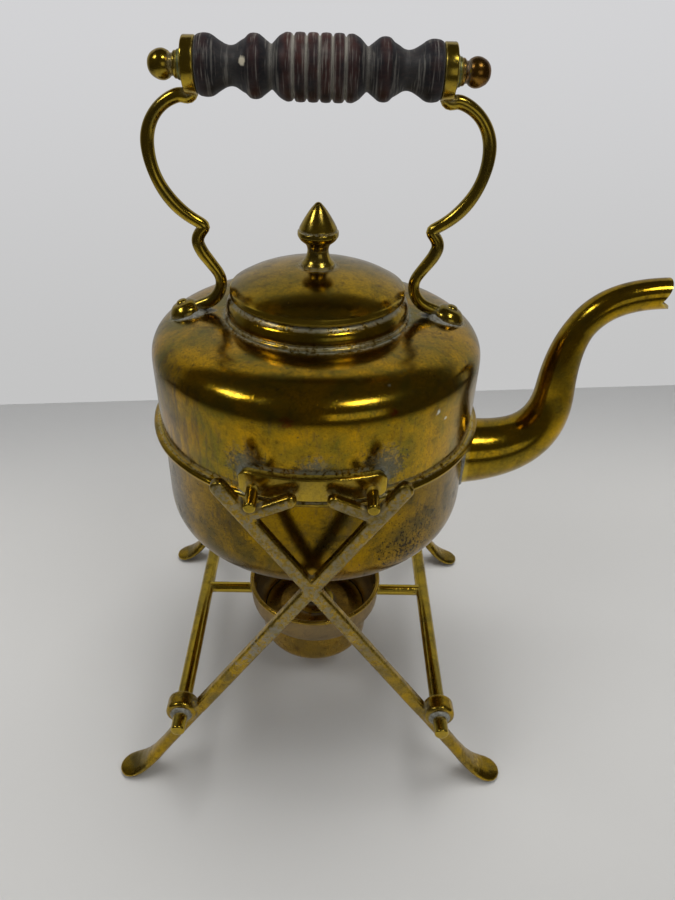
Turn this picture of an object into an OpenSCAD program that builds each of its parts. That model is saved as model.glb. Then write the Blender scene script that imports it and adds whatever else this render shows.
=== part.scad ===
// Brass spirit kettle on a crossed-leg stand: a swan-necked kettle with a lift-off lid and a
// turned wooden grip rests on four pins in the notches of two cast cross frames, over a spirit
// lamp that stands in a cup. The spout points to +X, the front frame faces -Y, and the origin
// is on the table, half way from the left feet to the spout's mouth.

/* [Stand] */
// Gap between a cross frame and the widest ring of the kettle
frame_gap = 1.7; // [0.7:0.1:20]
// Thickness of the cast frame, front to back
frame_t = 5; // [4:0.5:8]
// Width of the frame's flat bars
bar_w = 6.6; // [5:0.2:9]
// Height of the point where the bars cross
cross_z = 134.5; // [120:0.5:160]
// Slope of the bars from level
bar_angle = 56; // [52:1:60]
// Half of the distance between the two notches
notch_x = 25.5; // [20:0.5:30]
// Slope of the short inner prong of a notch
prong_angle = 24; // [18:1:32]
// Length of the short inner prong
prong_len = 17; // [12:1:20]
// Length of the bar above its notch
tip_len = 20; // [14:1:24]
// Height of the rods that tie the two frames
tie_z = 52; // [44:1:60]
// Distance of a tie rod from the bar's middle line
tie_side = 8; // [7:0.5:10]
// Radius of the round boss that holds a tie rod
boss_r = 7.5; // [6.5:0.5:9]
// Length of the boss
boss_len = 9; // [7:0.5:12]
// Radius of a tie rod between the frames
tie_r = 3.7; // [3:0.1:4.5]
// Radius of the tie rod's peg through the boss
peg_r = 3.4; // [2.6:0.1:4]
// Length of peg that shows in front of the boss
peg_out = 9.5; // [6:0.5:14]
// Distance of a foot's tip from the middle
foot_x = 101; // [95:1:115]
// Half width of the spoon-shaped foot
foot_half_w = 5.6; // [4:0.2:8]

/* [Burner] */
// Radius of the cup's rolled rim, outside
cup_r = 38; // [34:0.5:42]
// Height of the cup's rim
cup_z = 62; // [56:1:68]
// How much narrower the cup's lower drum is than its rim
drum_in = 7.5; // [5:0.5:12]
// Depth of the whole cup
cup_depth = 41; // [36:1:46]
// Thickness of sheet brass
sheet = 1.2; // [0.8:0.1:1.6]
// Radius of the struts that carry the cup
strut_r = 3.1; // [2.4:0.1:3.6]
// Gap all round the lamp in its cup
lamp_gap = 0.5; // [0.3:0.1:1]
// Height of the lamp's reservoir
lamp_h = 20; // [14:1:24]
// Radius of the lamp's wick tube
wick_tube_r = 6; // [4:0.5:9]
// Height of the wick tube over the reservoir
wick_tube_h = 20; // [12:1:26]

/* [Kettle] */
// Largest radius of the kettle's upper half
body_r = 76; // [68:0.5:86]
// How much the wall draws in down to the seam
wall_draw = 0.6; // [0:0.1:2]
// How far the seam's bead stands out
bead = 3.6; // [2:0.2:4.2]
// How much narrower the lower bowl is than the upper half
bowl_in = 1.5; // [1:0.1:6]
// Height of the upper half's straight wall
wall_h = 32.5; // [26:0.5:40]
// Height of the rounded shoulder
shoulder_h = 18; // [14:0.5:22]
// Width of the flat ring between the mouth and the rounded shoulder
mouth_ring = 2.5; // [0.5:0.5:8]
// Depth of the bowl's straight wall under the seam
bowl_wall_h = 34.5; // [30:0.5:40]
// Height of the bowl's rounding
bowl_round_h = 26; // [20:0.5:30]
// Width of the bowl's rounding
bowl_round_w = 42; // [34:1:48]
// How much narrower the mouth is than the lid
mouth_in = 3.9; // [3.4:0.1:8]
// How far the collar's foot stands out past the lid's rim
collar_out = 2; // [0.6:0.1:4]
// Height of the collar
collar_h = 9.6; // [7:0.2:12]
// Height of the pins over the seam
pin_over_seam = 5.4; // [4:0.2:7]
// Radius of a pin
pin_r = 2.6; // [2:0.1:3.2]
// Height of a bracket strap
strap_h = 11; // [9:0.5:14]
// Thickness of a bracket strap
strap_t = 3.9; // [3:0.1:4]
// Half of the angle that a strap covers
strap_half_angle = 23; // [21:1:28]

/* [Spout] */
// Radius of the spout at its root
spout_root_r = 17; // [14:0.5:18]
// Radius of the spout at its mouth
spout_mouth_r = 7; // [6:0.25:8]
// How far the root's middle lies under the seam
spout_drop = 23.5; // [21:0.5:26]
// Distance of the upright part from the kettle's wall
spout_off = 40.5; // [36:0.5:46]
// How far the mouth reaches past the upright part
spout_over = 43.5; // [34:0.5:54]
// Height of the mouth over the seam
spout_rise = 63.5; // [56:0.5:70]
// Depth of the fish-mouth cut in the mouth
mouth_cut = 6.5; // [3:0.5:8]

/* [Lid] */
// Radius of the lid's rim
lid_r = 39.4; // [35:0.2:44]
// Height of the lid's dome
dome_h = 12.6; // [9:0.2:16]
// Depth of the ring under the lid
flange_h = 6; // [4:0.5:8]
// Gap between the lid and the collar
lid_gap = 0.3; // [0.3:0.1:0.6]
// Radius of the knob's widest ring
knob_r = 9; // [7:0.25:11]
// Height of the knob
knob_h = 27.4; // [22:0.2:32]

/* [Handle] */
// Height of the grip's axis over the shoulder's top
grip_rise = 99.5; // [92:0.5:110]
// Half length of the wooden grip
grip_half = 46.6; // [44:0.2:50]
// Largest radius of the wooden grip
grip_r = 12; // [10:0.25:14]
// Radius of the rod through the grip
rod_r = 3; // [2.4:0.1:3.4]
// Radius of the eye at the top of an arm
eye_r = 10.2; // [8:0.2:12]
// Thickness of the eye
eye_t = 4.8; // [4:0.2:6]
// Gap between the grip and an eye
grip_gap = 0.4; // [0.3:0.1:0.8]
// Radius of an arm's round bar
arm_r = 2.65; // [2.2:0.05:3]
// Radius of the arm's upper bend
bend_r = 21.5; // [18:0.5:24]
// Height of the arm's kink over its foot pad
kink_rise = 35.5; // [30:0.5:42]
// Radius of the foot pad that is riveted to the shoulder
pad_r = 6.6; // [5.5:0.1:8]
// Distance of a rivet from the kettle's largest radius
rivet_in = 16; // [13:0.5:19]
// Radius of a rivet head
rivet_r = 2.7; // [2:0.1:3.2]
// Radius of a finial's ball
ball_r = 5.6; // [4.6:0.1:6.6]

/* [Hidden] */
$fn = 64;

// Clearance of a soldered pin or rod in its bore
fit = 0.05;
// Clearance of a part that turns on a pin or rod
turn_fit = 0.08;
// Gap between a resting pin and the faces of its notch
rest_gap = 0.3;
// Gap between a bracket and the seam's bead
bracket_gap = 0.2;
// Gap between the lid's rim and the handle's arms
lid_clear = 0.95;
// Width of the ledge that the collar's bore leaves over the mouth
collar_lip = 1.4;
// Gap between the ring under the lid and the collar's bore
flange_gap = 0.5;

// Radii of the kettle that follow from its largest one and from the lid
seam_r = body_r - wall_draw;
bowl_r = body_r - bowl_in;
mouth_r = lid_r - mouth_in;
collar_r = lid_r + collar_out;
shoulder_w = body_r - mouth_r - mouth_ring;
strap_outer = seam_r + strap_t;

// Mid-plane of a cross frame, which clears the bead and the straps
frame_y = seam_r + max(bead, strap_t) + frame_gap + frame_t / 2;

// Places on the cross frame, in the frame's plane
notch_z = cross_z + notch_x * tan(bar_angle) + bar_w / 2 / cos(bar_angle);
notch_half = (180 - bar_angle - prong_angle) / 2;
pin_away = (pin_r + rest_gap) / sin(notch_half);
pin_x = notch_x - pin_away * cos(prong_angle + notch_half);
pin_z = notch_z + pin_away * sin(prong_angle + notch_half);
ankle_z = tie_z;
ankle_x = (cross_z - ankle_z) / tan(bar_angle);
tie_x = ankle_x + tie_side;
boss_face_y = frame_y + boss_len / 2;
frame_face_y = frame_y + frame_t / 2;

// Heights of the kettle, which hangs on its pins
seam_z = pin_z - pin_over_seam;
top_z = seam_z + wall_h + shoulder_h;
base_z = seam_z - bowl_wall_h - bowl_round_h;
collar_z = top_z + collar_h;
lid_z = collar_z + lid_gap;
grip_z = top_z + grip_rise;

// Radius of the upper wall at a height over the seam
function wall_r(h) = seam_r + (body_r - seam_r) * h / wall_h;

// Quarter of a rounded shoulder, from its top (near the axis) out to its foot
round_steps = 12;
round_power = 0.7;
function rounding(r, w, h, z) = [
  for (i = [0 : round_steps])
    let (a = 86 * (1 - i / round_steps))
    [r - w + w * pow(cos(a), round_power), z + h * pow(sin(a), round_power)]
];
function reversed(list) = [for (i = [len(list) - 1 : -1 : 0]) list[i]];
function arc(x, z, r, from, to, steps) = [
  for (i = [0 : steps])
    let (a = from + (to - from) * i / steps)
    [x + r * cos(a), z + r * sin(a)]
];

// Outline of a closed lathe-turned piece: points are [radius, height]
module turned(points) {
  rotate_extrude() polygon(points);
}

// The same along X, for the grip and the finials, starting at x = 0
module turned_along_x(points) {
  rotate([0, 90, 0]) turned(points);
}

// Round rod along Y between two places
module rod_y(r, from, to) {
  translate([0, from, 0]) rotate([-90, 0, 0]) cylinder(h = to - from, r = r);
}

// STAND

// One flat bar with its notch prong, leaning to the upper left
module bar_outline() {
  half = bar_w / 2;
  bar_up = (notch_x + tip_len * cos(bar_angle)) / cos(bar_angle);
  bar_down = ankle_x / cos(bar_angle);
  translate([0, cross_z]) rotate(-bar_angle) translate([-bar_up, -half])
    square([bar_up + bar_down, bar_w]);
  translate([0, cross_z]) rotate(-bar_angle) translate([-bar_up, 0]) circle(half);
  translate([-notch_x, notch_z]) rotate(prong_angle) {
    translate([-half * 0.6, -bar_w * 0.86]) square([prong_len + half * 0.6, bar_w * 0.86]);
    translate([prong_len, -bar_w * 0.43]) circle(bar_w * 0.43);
  }
}

// Spoon foot that flows out of the bar at the lower right
module foot() {
  half = bar_w / 2;
  shin = [ankle_x + (foot_x - ankle_x) * 0.44, 0, ankle_z * 0.42];
  instep = [ankle_x + (foot_x - ankle_x) * 0.68, 0, ankle_z * 0.15];
  spoon_x = foot_x - foot_half_w * 1.4;
  hull() {
    translate([ankle_x, 0, ankle_z]) sphere(half * 0.98, $fn = 20);
    translate(shin) sphere(half * 0.84, $fn = 20);
  }
  hull() {
    translate(shin) sphere(half * 0.84, $fn = 20);
    translate(instep) scale([1.2, 1.3, 1]) sphere(half * 0.8, $fn = 20);
  }
  hull() {
    translate(instep) scale([1.2, 1.3, 1]) sphere(half * 0.8, $fn = 20);
    translate([spoon_x, 0, half * 0.8]) scale([1.4, 1, 0.36]) sphere(foot_half_w, $fn = 28);
    translate([spoon_x - 2, 0, 0]) cylinder(h = half, r = foot_half_w * 0.55, $fn = 20);
  }
}

// Barrel-shaped boss with a bore for the tie rod's peg
module boss_solid() {
  edge = 2.2;
  rotate([90, 0, 0]) turned(concat(
    [[0, -boss_len / 2]], arc(boss_r - edge, -boss_len / 2 + edge, edge, -90, 0, 5),
    arc(boss_r - edge, boss_len / 2 - edge, edge, 0, 90, 5), [[0, boss_len / 2]]));
}

module cross_frame() {
  difference() {
    union() {
      for (side = [0, 1]) mirror([side, 0, 0]) {
        translate([0, frame_t / 2, 0]) rotate([90, 0, 0]) linear_extrude(frame_t) bar_outline();
        translate([tie_x, 0, tie_z]) boss_solid();
        foot();
      }
    }
    for (side = [-1, 1]) translate([side * tie_x, 0, tie_z])
      rod_y(peg_r + fit, -boss_len, boss_len);
  }
}

module front_frame() color("darkgoldenrod") placed() translate([0, -frame_y, 0]) cross_frame();
module back_frame() color("darkgoldenrod") placed() translate([0, frame_y, 0]) cross_frame();

// Tie rod with a peg at each end that passes through the bosses
module tie_rod(side) {
  inner = frame_y - boss_len / 2;
  end = boss_face_y + peg_out;
  color("olive") placed() translate([side * tie_x, 0, tie_z]) rotate([90, 0, 0]) turned([
    [0, -end], [peg_r - 0.8, -end], [peg_r, -end + 0.8], [peg_r, -inner], [tie_r, -inner],
    [tie_r, inner], [peg_r, inner], [peg_r, end - 0.8], [peg_r - 0.8, end], [0, end]]);
}
module tie_rod_left() tie_rod(-1);
module tie_rod_right() tie_rod(1);

// Soldered ring round each peg where it leaves its boss
module peg_rings() {
  ring_w = 1.6;
  ring_t = 1.1;
  color("silver") placed() for (side = [-1, 1], end = [-1, 1])
    translate([side * tie_x, end * (boss_face_y + ring_t / 2), tie_z]) rotate([90, 0, 0])
      difference() {
        cylinder(h = ring_t, r = peg_r + ring_w, center = true);
        cylinder(h = ring_t * 3, r = peg_r + fit, center = true);
      }
}

// Horizontal struts from the tie rods to the cup, at mid-length
module cup_struts() {
  color("olive") placed() difference() {
    for (side = [-1, 1]) mirror([side < 0 ? 1 : 0, 0, 0])
      translate([drum_r, 0, tie_z]) rotate([0, 90, 0]) cylinder(h = tie_x - drum_r, r = strut_r);
    cup_solid(0);
    for (side = [-1, 1]) translate([side * tie_x, 0, tie_z]) rod_y(tie_r, -tie_r * 4, tie_r * 4);
  }
}

// BURNER

rim_r = 1.5;
drum_r = cup_r - drum_in;
drum_top = cup_depth * 0.52;
drum_round = 5;
cup_floor_z = cup_z - cup_depth;
bowl_foot_r = drum_r + 2.2;

// Outside of the cup, drawn in by a wall thickness for its inside
function cup_outline(in) = concat(
  arc(drum_r - drum_round, cup_floor_z + drum_round, drum_round - in, -90, 0, 5),
  [[drum_r - in, cup_floor_z + drum_top], [bowl_foot_r - in, cup_floor_z + drum_top + 2.5],
   [cup_r - rim_r * 1.6 - in, cup_z - 8], [cup_r - rim_r * 1.4 - in, cup_z]]);

module cup_solid(in) {
  turned(concat([[0, cup_floor_z + in]], cup_outline(in), [[0, cup_z]]));
}

module burner_cup() {
  color("peru") placed() union() {
    turned(concat([[0, cup_floor_z]], cup_outline(0), reversed(cup_outline(sheet)),
                  [[0, cup_floor_z + sheet]]));
    translate([0, 0, cup_z]) rotate_extrude() translate([cup_r - rim_r, 0]) circle(rim_r, $fn = 24);
  }
}

lamp_r = drum_r - sheet - lamp_gap;
lamp_z = cup_floor_z + sheet + lamp_gap;
lamp_top_z = lamp_z + lamp_h;
tube_hole_r = wick_tube_r + fit;

// Closed can for the spirit, with a domed top and a hole for the burner
module lamp_reservoir() {
  foot = 4.5;
  dome = 3;
  outside = concat(
    arc(lamp_r - foot, lamp_z + foot, foot, -90, 0, 5),
    [[lamp_r, lamp_top_z - dome], [lamp_r * 0.7, lamp_top_z - dome * 0.3],
     [tube_hole_r, lamp_top_z]]);
  inside = concat(
    arc(lamp_r - foot, lamp_z + foot, foot - sheet, -90, 0, 5),
    [[lamp_r - sheet, lamp_top_z - dome - sheet], [lamp_r * 0.7, lamp_top_z - dome * 0.3 - sheet],
     [tube_hole_r, lamp_top_z - sheet]]);
  color("tan") placed()
    turned(concat([[0, lamp_z]], outside, reversed(inside), [[0, lamp_z + sheet]]));
}

// Wick tube with the flange that rests on the reservoir
module lamp_burner() {
  flange_r = wick_tube_r + 5;
  flange_t = 1.6;
  bore_r = wick_tube_r - sheet;
  tube_foot = lamp_top_z - 8;
  tube_top = lamp_top_z + wick_tube_h;
  color("gold") placed() turned([
    [bore_r, tube_foot], [wick_tube_r, tube_foot], [wick_tube_r, lamp_top_z],
    [flange_r, lamp_top_z], [flange_r, lamp_top_z + flange_t],
    [wick_tube_r, lamp_top_z + flange_t + 1], [wick_tube_r, tube_top], [bore_r, tube_top]]);
}

// Cotton wick that stands in its tube
module lamp_wick() {
  wick_r = wick_tube_r - sheet - fit;
  wick_out = 4;
  wick_foot = lamp_z + sheet + 0.5;
  wick_top = lamp_top_z + wick_tube_h + wick_out;
  color("ivory") placed() turned([
    [0, wick_foot], [wick_r, wick_foot], [wick_r, wick_top - 1.5], [wick_r * 0.6, wick_top],
    [0, wick_top]]);
}

// KETTLE

spout_hole_r = spout_root_r - 3;
spout_root_z = seam_z - spout_drop;

upper_outline = concat(
  [[mouth_r, top_z]], rounding(body_r, shoulder_w, shoulder_h, seam_z + wall_h), [[seam_r, seam_z]]);
upper_inside = concat(
  [[mouth_r, top_z - sheet]],
  rounding(body_r - sheet, shoulder_w - sheet, shoulder_h - sheet, seam_z + wall_h),
  [[seam_r - sheet, seam_z]]);

module upper_body() {
  color("goldenrod") placed() turned(concat(upper_outline, reversed(upper_inside)));
}

// The rounding turned upside down, for the bowl
function bowl_line(in) = concat(
  [[seam_r - in, seam_z], [bowl_r - in, seam_z - bead]],
  [for (p = reversed(rounding(bowl_r - in, bowl_round_w - in, bowl_round_h - in, 0)))
    [p[0], seam_z - bowl_wall_h - p[1]]]);

module lower_body() {
  color("goldenrod") placed() difference() {
    turned(concat([[0, base_z + sheet]], reversed(bowl_line(sheet)), bowl_line(0), [[0, base_z]]));
    translate([bowl_r * 0.6, 0, spout_root_z]) rotate([0, 90, 0])
      cylinder(h = body_r, r = spout_hole_r);
  }
}

// Outside of the whole kettle body, filled, for cutting what is soldered to it
module body_solid() {
  rotate_extrude($fn = 200)
    polygon(concat([[0, top_z]], upper_outline, bowl_line(0), [[0, base_z]]));
}

module seam_bead() {
  half = bead / 2;
  outer = seam_r + bead - half;
  color("gold") placed() turned(concat(
    [[seam_r, seam_z - half]], arc(outer, seam_z, half, -90, 90, 8),
    [[wall_r(half) + fit, seam_z + half], [seam_r + fit, seam_z]]));
}

// Convex ring that the lid sits on
module lid_collar() {
  color("gold") placed() turned([
    [mouth_r, top_z], [collar_r, top_z], [collar_r, top_z + 1], [collar_r - 0.9, top_z + 1.8],
    [collar_r - 0.3, top_z + 3], [collar_r - 0.2, top_z + collar_h * 0.5],
    [collar_r - 0.8, top_z + collar_h * 0.72], [lid_r - 1, collar_z - 1], [lid_r - 1.6, collar_z],
    [mouth_r + collar_lip, collar_z], [mouth_r + collar_lip, top_z + 2], [mouth_r, top_z + 2]]);
}

// SPOUT

spout_rings = 22;
spout_sides = 20;
// Radius on which the root sits, a hair off the bowl's wall
spout_seat_r = bowl_r + fit;
// Pulls that shape the neck: out of the root, into the waist, out of the waist, into the mouth
root_pull = [27, 1];
waist_pull = [-0.5, 27];
rise_pull = [0, 34];
mouth_pull = [33, 1];
// Height of the waist, where the neck is upright, over the seam
waist_over_seam = 14;
// Share of the neck that tapers, and how quickly it does
taper_end = 0.62;
taper_power = 0.85;
// Share of the neck at which the fish-mouth begins, and how sharply its cheeks are cut
mouth_from = 0.86;
cheek_power = 1.6;
function bezier(a, b, c, d, t) =
  a * pow(1 - t, 3) + 3 * b * t * pow(1 - t, 2) + 3 * c * t * t * (1 - t) + d * pow(t, 3);
spout_start = [spout_seat_r, spout_root_z];
spout_waist = [body_r + spout_off, seam_z + waist_over_seam];
spout_end = [spout_waist[0] + spout_over, seam_z + spout_rise];
function spout_at(t) = t < 0.5
  ? bezier(spout_start, spout_start + root_pull, spout_waist - waist_pull, spout_waist, 2 * t)
  : bezier(spout_waist, spout_waist + rise_pull, spout_end - mouth_pull, spout_end, 2 * t - 1);
function spout_heading(t) =
  let (d = spout_at(min(t + 0.01, 1)) - spout_at(max(t - 0.01, 0))) d / norm(d);
function spout_r(t) =
  spout_mouth_r + (spout_root_r - spout_mouth_r) * pow(max(0, 1 - t / taper_end), taper_power);

// Fish-mouth: the lips run on, and the cheeks are cut back, over the last stretch
function mouth_shift(t, a) =
  -mouth_cut * max(0, t - mouth_from) / (1 - mouth_from) * pow(abs(cos(a)), cheek_power);

// Ring of points round the spout: a is 90 on its upper side
function spout_ring(t, in) =
  let (c = spout_at(t), h = spout_heading(t), r = spout_r(t) - in)
  [for (k = [0 : spout_sides - 1])
    let (a = 360 * k / spout_sides, along = mouth_shift(t, a), y = r * cos(a))
    t == 0
      ? [sqrt(pow(spout_seat_r, 2) - y * y), y, c[1] + r * sin(a)]
      : [c[0] - h[1] * r * sin(a) + h[0] * along, y, c[1] + h[0] * r * sin(a) + h[1] * along]];

// Each node is drawn about the kettle's axis, then moved so that the origin is half way from the
// left feet to the lower lip of the mouth
middle_x = (spout_end[0] + spout_mouth_r * spout_heading(1)[1] - foot_x) / 2;
module placed() {
  translate([-middle_x, 0, 0]) children();
}

module spout() {
  n = spout_sides;
  outer = [for (i = [0 : spout_rings]) each spout_ring(i / spout_rings, 0)];
  inner = [for (i = [0 : spout_rings]) each spout_ring(i / spout_rings, sheet)];
  shift = len(outer);
  last = spout_rings * n;
  skin = [for (i = [0 : spout_rings - 1], k = [0 : n - 1])
    let (a = i * n + k, b = i * n + (k + 1) % n) each [[a, b, b + n], [a, b + n, a + n]]];
  lining = [for (f = skin) [f[2] + shift, f[1] + shift, f[0] + shift]];
  root = [for (k = [0 : n - 1]) let (a = k, b = (k + 1) % n)
    each [[a, a + shift, b + shift], [a, b + shift, b]]];
  lips = [for (k = [0 : n - 1]) let (a = last + k, b = last + (k + 1) % n)
    each [[a, b, b + shift], [a, b + shift, a + shift]]];
  color("goldenrod") placed() polyhedron(concat(outer, inner), concat(skin, lining, root, lips));
}

// Soldered ring round the root of the spout
module spout_collar() {
  ring_w = 1.5;
  ring_t = 2;
  sunk = 4;
  color("silver") placed() difference() {
    translate([bowl_r - sunk, 0, spout_root_z]) rotate([0, 90, 0]) difference() {
      cylinder(h = sunk + ring_t, r = spout_root_r + ring_w);
      translate([0, 0, -1]) cylinder(h = sunk + ring_t + 2, r = spout_root_r + fit);
    }
    body_solid();
  }
}

// BRACKETS AND PINS

pin_out = 2.5;
pin_inner_y = sqrt(pow(body_r, 2) - pow(pin_x - pin_r, 2)) + rest_gap;
pin_end_y = frame_face_y + pin_out;

// Curved strap that is soldered to the wall just over the seam, with a bore for each pin
module bracket() {
  low = bead / 2 + bracket_gap;
  high = low + strap_h;
  edge = 1;
  difference() {
    rotate([0, 0, -90 - strap_half_angle]) rotate_extrude(angle = 2 * strap_half_angle)
      polygon([[wall_r(low), seam_z + low], [strap_outer - edge, seam_z + low],
               [strap_outer, seam_z + low + edge], [strap_outer, seam_z + high - edge],
               [strap_outer - edge, seam_z + high], [wall_r(high), seam_z + high]]);
    for (side = [-1, 1]) translate([side * pin_x, 0, pin_z])
      rod_y(pin_r + turn_fit, -strap_outer - 5, -strap_outer / 2);
  }
}
module front_bracket() color("gold") placed() bracket();
module back_bracket() color("gold") placed() mirror([0, 1, 0]) bracket();

// A pair of pins, front and back, on the handle's side (-1) or the spout's side (1)
module pin_pair(side) {
  blunt = 0.7;
  for (end = [0, 1]) mirror([0, end, 0]) translate([side * pin_x, 0, pin_z]) rotate([90, 0, 0])
    turned([[0, pin_inner_y], [pin_r, pin_inner_y], [pin_r, pin_end_y - blunt],
            [pin_r - blunt, pin_end_y], [0, pin_end_y]]);
}
module rest_pins() color("orange") placed() pin_pair(-1);
module pour_pins() color("orange") placed() pin_pair(1);

// HANDLE

rivet_x = body_r - rivet_in;
shoulder_here = seam_z + wall_h + shoulder_h
  * pow(1 - pow((rivet_x - body_r + shoulder_w) / shoulder_w, 2 / round_power), round_power / 2);
pad_tilt = 20;
pad_h = 5;
pad_lift = 0.4;
pad_z = shoulder_here + pad_lift;

eye_edge = 0.6;
eye_x = grip_half + grip_gap + eye_t / 2;
eye_outer = eye_x + eye_t / 2;
bend_z = grip_z - eye_r + eye_edge - bend_r;
out_x = eye_x + bend_r;
sweep_angle = 58;
kink_z = pad_z + kink_rise;
sweep_r = (bend_z - kink_z) / sin(sweep_angle);
neck_r = 35;
neck_angle = 35;
neck_out = lid_r + lid_clear + arm_r;
neck_x = neck_out + neck_r;
neck_z = kink_z - neck_r * sin(neck_angle);
curl_r = 11.5;
curl_x = neck_out + curl_r;
// Angles at which the long curve, the kink and the curl begin, and at which the curl ends
sweep_start = -5;
kink_start = 178;
curl_start = 184;
curl_end = 245;
curl_foot = [curl_x + curl_r * cos(curl_end), neck_z + curl_r * sin(curl_end)];

// Route of an arm's round bar, from its eye through the upper bend, the long curve, the kink
// and the curl to its foot pad, in the XZ plane
arm_short = 1;
arm_end_x = rivet_x - arm_short;
arm_route = concat(
  arc(eye_x, bend_z, bend_r, 90, 0, 9),
  reversed(arc(out_x - sweep_r, bend_z, sweep_r, -sweep_angle, sweep_start, 10)),
  arc(neck_x, neck_z, neck_r, 180 - neck_angle, kink_start, 6),
  arc(curl_x, neck_z, curl_r, curl_start, curl_end, 6),
  [[arm_end_x, curl_foot[1] - (arm_end_x - curl_foot[0]) * tan(pad_tilt)]]);
arm_sides = 12;

// Tube of triangles along a route in the XZ plane
module bar_along(route, r) {
  last = len(route) - 1;
  rings = [
    for (i = [0 : last])
      let (d = route[min(i + 1, last)] - route[max(i - 1, 0)], h = d / norm(d))
      for (k = [0 : arm_sides - 1])
        let (a = 360 * k / arm_sides)
        [route[i][0] - h[1] * r * cos(a), r * sin(a), route[i][1] + h[0] * r * cos(a)]];
  skin = [for (i = [0 : last - 1], k = [0 : arm_sides - 1])
    let (a = i * arm_sides + k, b = i * arm_sides + (k + 1) % arm_sides)
    each [[a, b, b + arm_sides], [a, b + arm_sides, a + arm_sides]]];
  near = [for (k = [1 : arm_sides - 2]) [0, k + 1, k]];
  end = last * arm_sides;
  far = [for (k = [1 : arm_sides - 2]) [end, end + k, end + k + 1]];
  polyhedron(rings, concat(skin, near, far));
}

// Foot pad, drawn upright at the origin
module pad_solid() {
  edge = 1.8;
  crown = 1;
  edge_end = 75;
  turned(concat([[0, -pad_h], [pad_r, -pad_h]],
    arc(pad_r - edge, pad_h - edge - crown, edge, 0, edge_end, 4), [[0, pad_h]]));
}

// One arm of the handle on the spout's side: eye, upper bend, long curve, kink, curl and pad
module arm() {
  difference() {
    union() {
      translate([eye_x - eye_t / 2, 0, grip_z]) turned_along_x([
        [0, 0], [eye_r - eye_edge, 0], [eye_r, eye_edge], [eye_r, eye_t - eye_edge],
        [eye_r - eye_edge, eye_t], [0, eye_t]]);
      bar_along(arm_route, arm_r);
      translate([rivet_x, 0, pad_z]) rotate([0, pad_tilt, 0]) pad_solid();
    }
    translate([0, 0, grip_z]) rotate([0, 90, 0]) cylinder(h = eye_outer * 2, r = rod_r + fit);
    body_solid();
    translate([rivet_x, 0, pad_z]) rotate([0, pad_tilt, 0]) rivet_shape(fit);
  }
}
module handle_arm_right() color("darkgoldenrod") placed() arm();
module handle_arm_left() color("darkgoldenrod") placed() mirror([1, 0, 0]) arm();

// Rivet with a domed head on the pad, drawn upright at the pad's origin
module rivet_shape(grow) {
  shank = 1.5;
  turned([[0, 1], [shank + grow, 1], [shank + grow, pad_h - 0.25], [rivet_r + grow, pad_h - 0.25],
          [rivet_r + grow, pad_h + 0.7], [rivet_r * 0.6 + grow, pad_h + 1.6], [0, pad_h + 1.9]]);
}
module handle_rivets() {
  color("gold") placed() for (side = [0, 1]) mirror([side, 0, 0])
    translate([rivet_x, 0, pad_z]) rotate([0, pad_tilt, 0]) rivet_shape(0);
}

washer_t = 2.4;
washer_w = 3.2;
rod_in_finial = 4;
finial_x = eye_outer + washer_t;
rod_end = finial_x + rod_in_finial;

module handle_rod() {
  color("darkkhaki") placed() translate([-rod_end, 0, grip_z]) rotate([0, 90, 0])
    cylinder(h = 2 * rod_end, r = rod_r);
}

module rod_washers() {
  washer_r = rod_r + washer_w;
  color("darkseagreen") placed() for (side = [0, 1]) mirror([side, 0, 0])
    translate([eye_outer, 0, grip_z]) rotate([0, 90, 0]) difference() {
      cylinder(h = washer_t, r = washer_r);
      translate([0, 0, -1]) cylinder(h = washer_t + 2, r = rod_r + fit);
    }
}

// Ball-ended nut that closes the rod, with a blind bore
module finial() {
  neck = ball_r * 0.72;
  ball_at_x = 5.8;
  ball_from = -36;
  ball_to = 78;
  translate([finial_x, 0, grip_z]) turned_along_x(concat(
    [[rod_r + fit, 0], [ball_r * 0.86, 0], [ball_r * 0.86, 1.2], [neck, 1.6], [neck * 0.98, 2.6]],
    arc(0, ball_at_x, ball_r, ball_from, ball_to, 9),
    [[0, ball_at_x + ball_r], [0, rod_end - finial_x + fit], [rod_r + fit, rod_end - finial_x + fit]]));
}
module finial_right() color("chocolate") placed() finial();
module finial_left() color("chocolate") placed() mirror([1, 0, 0]) finial();

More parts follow.
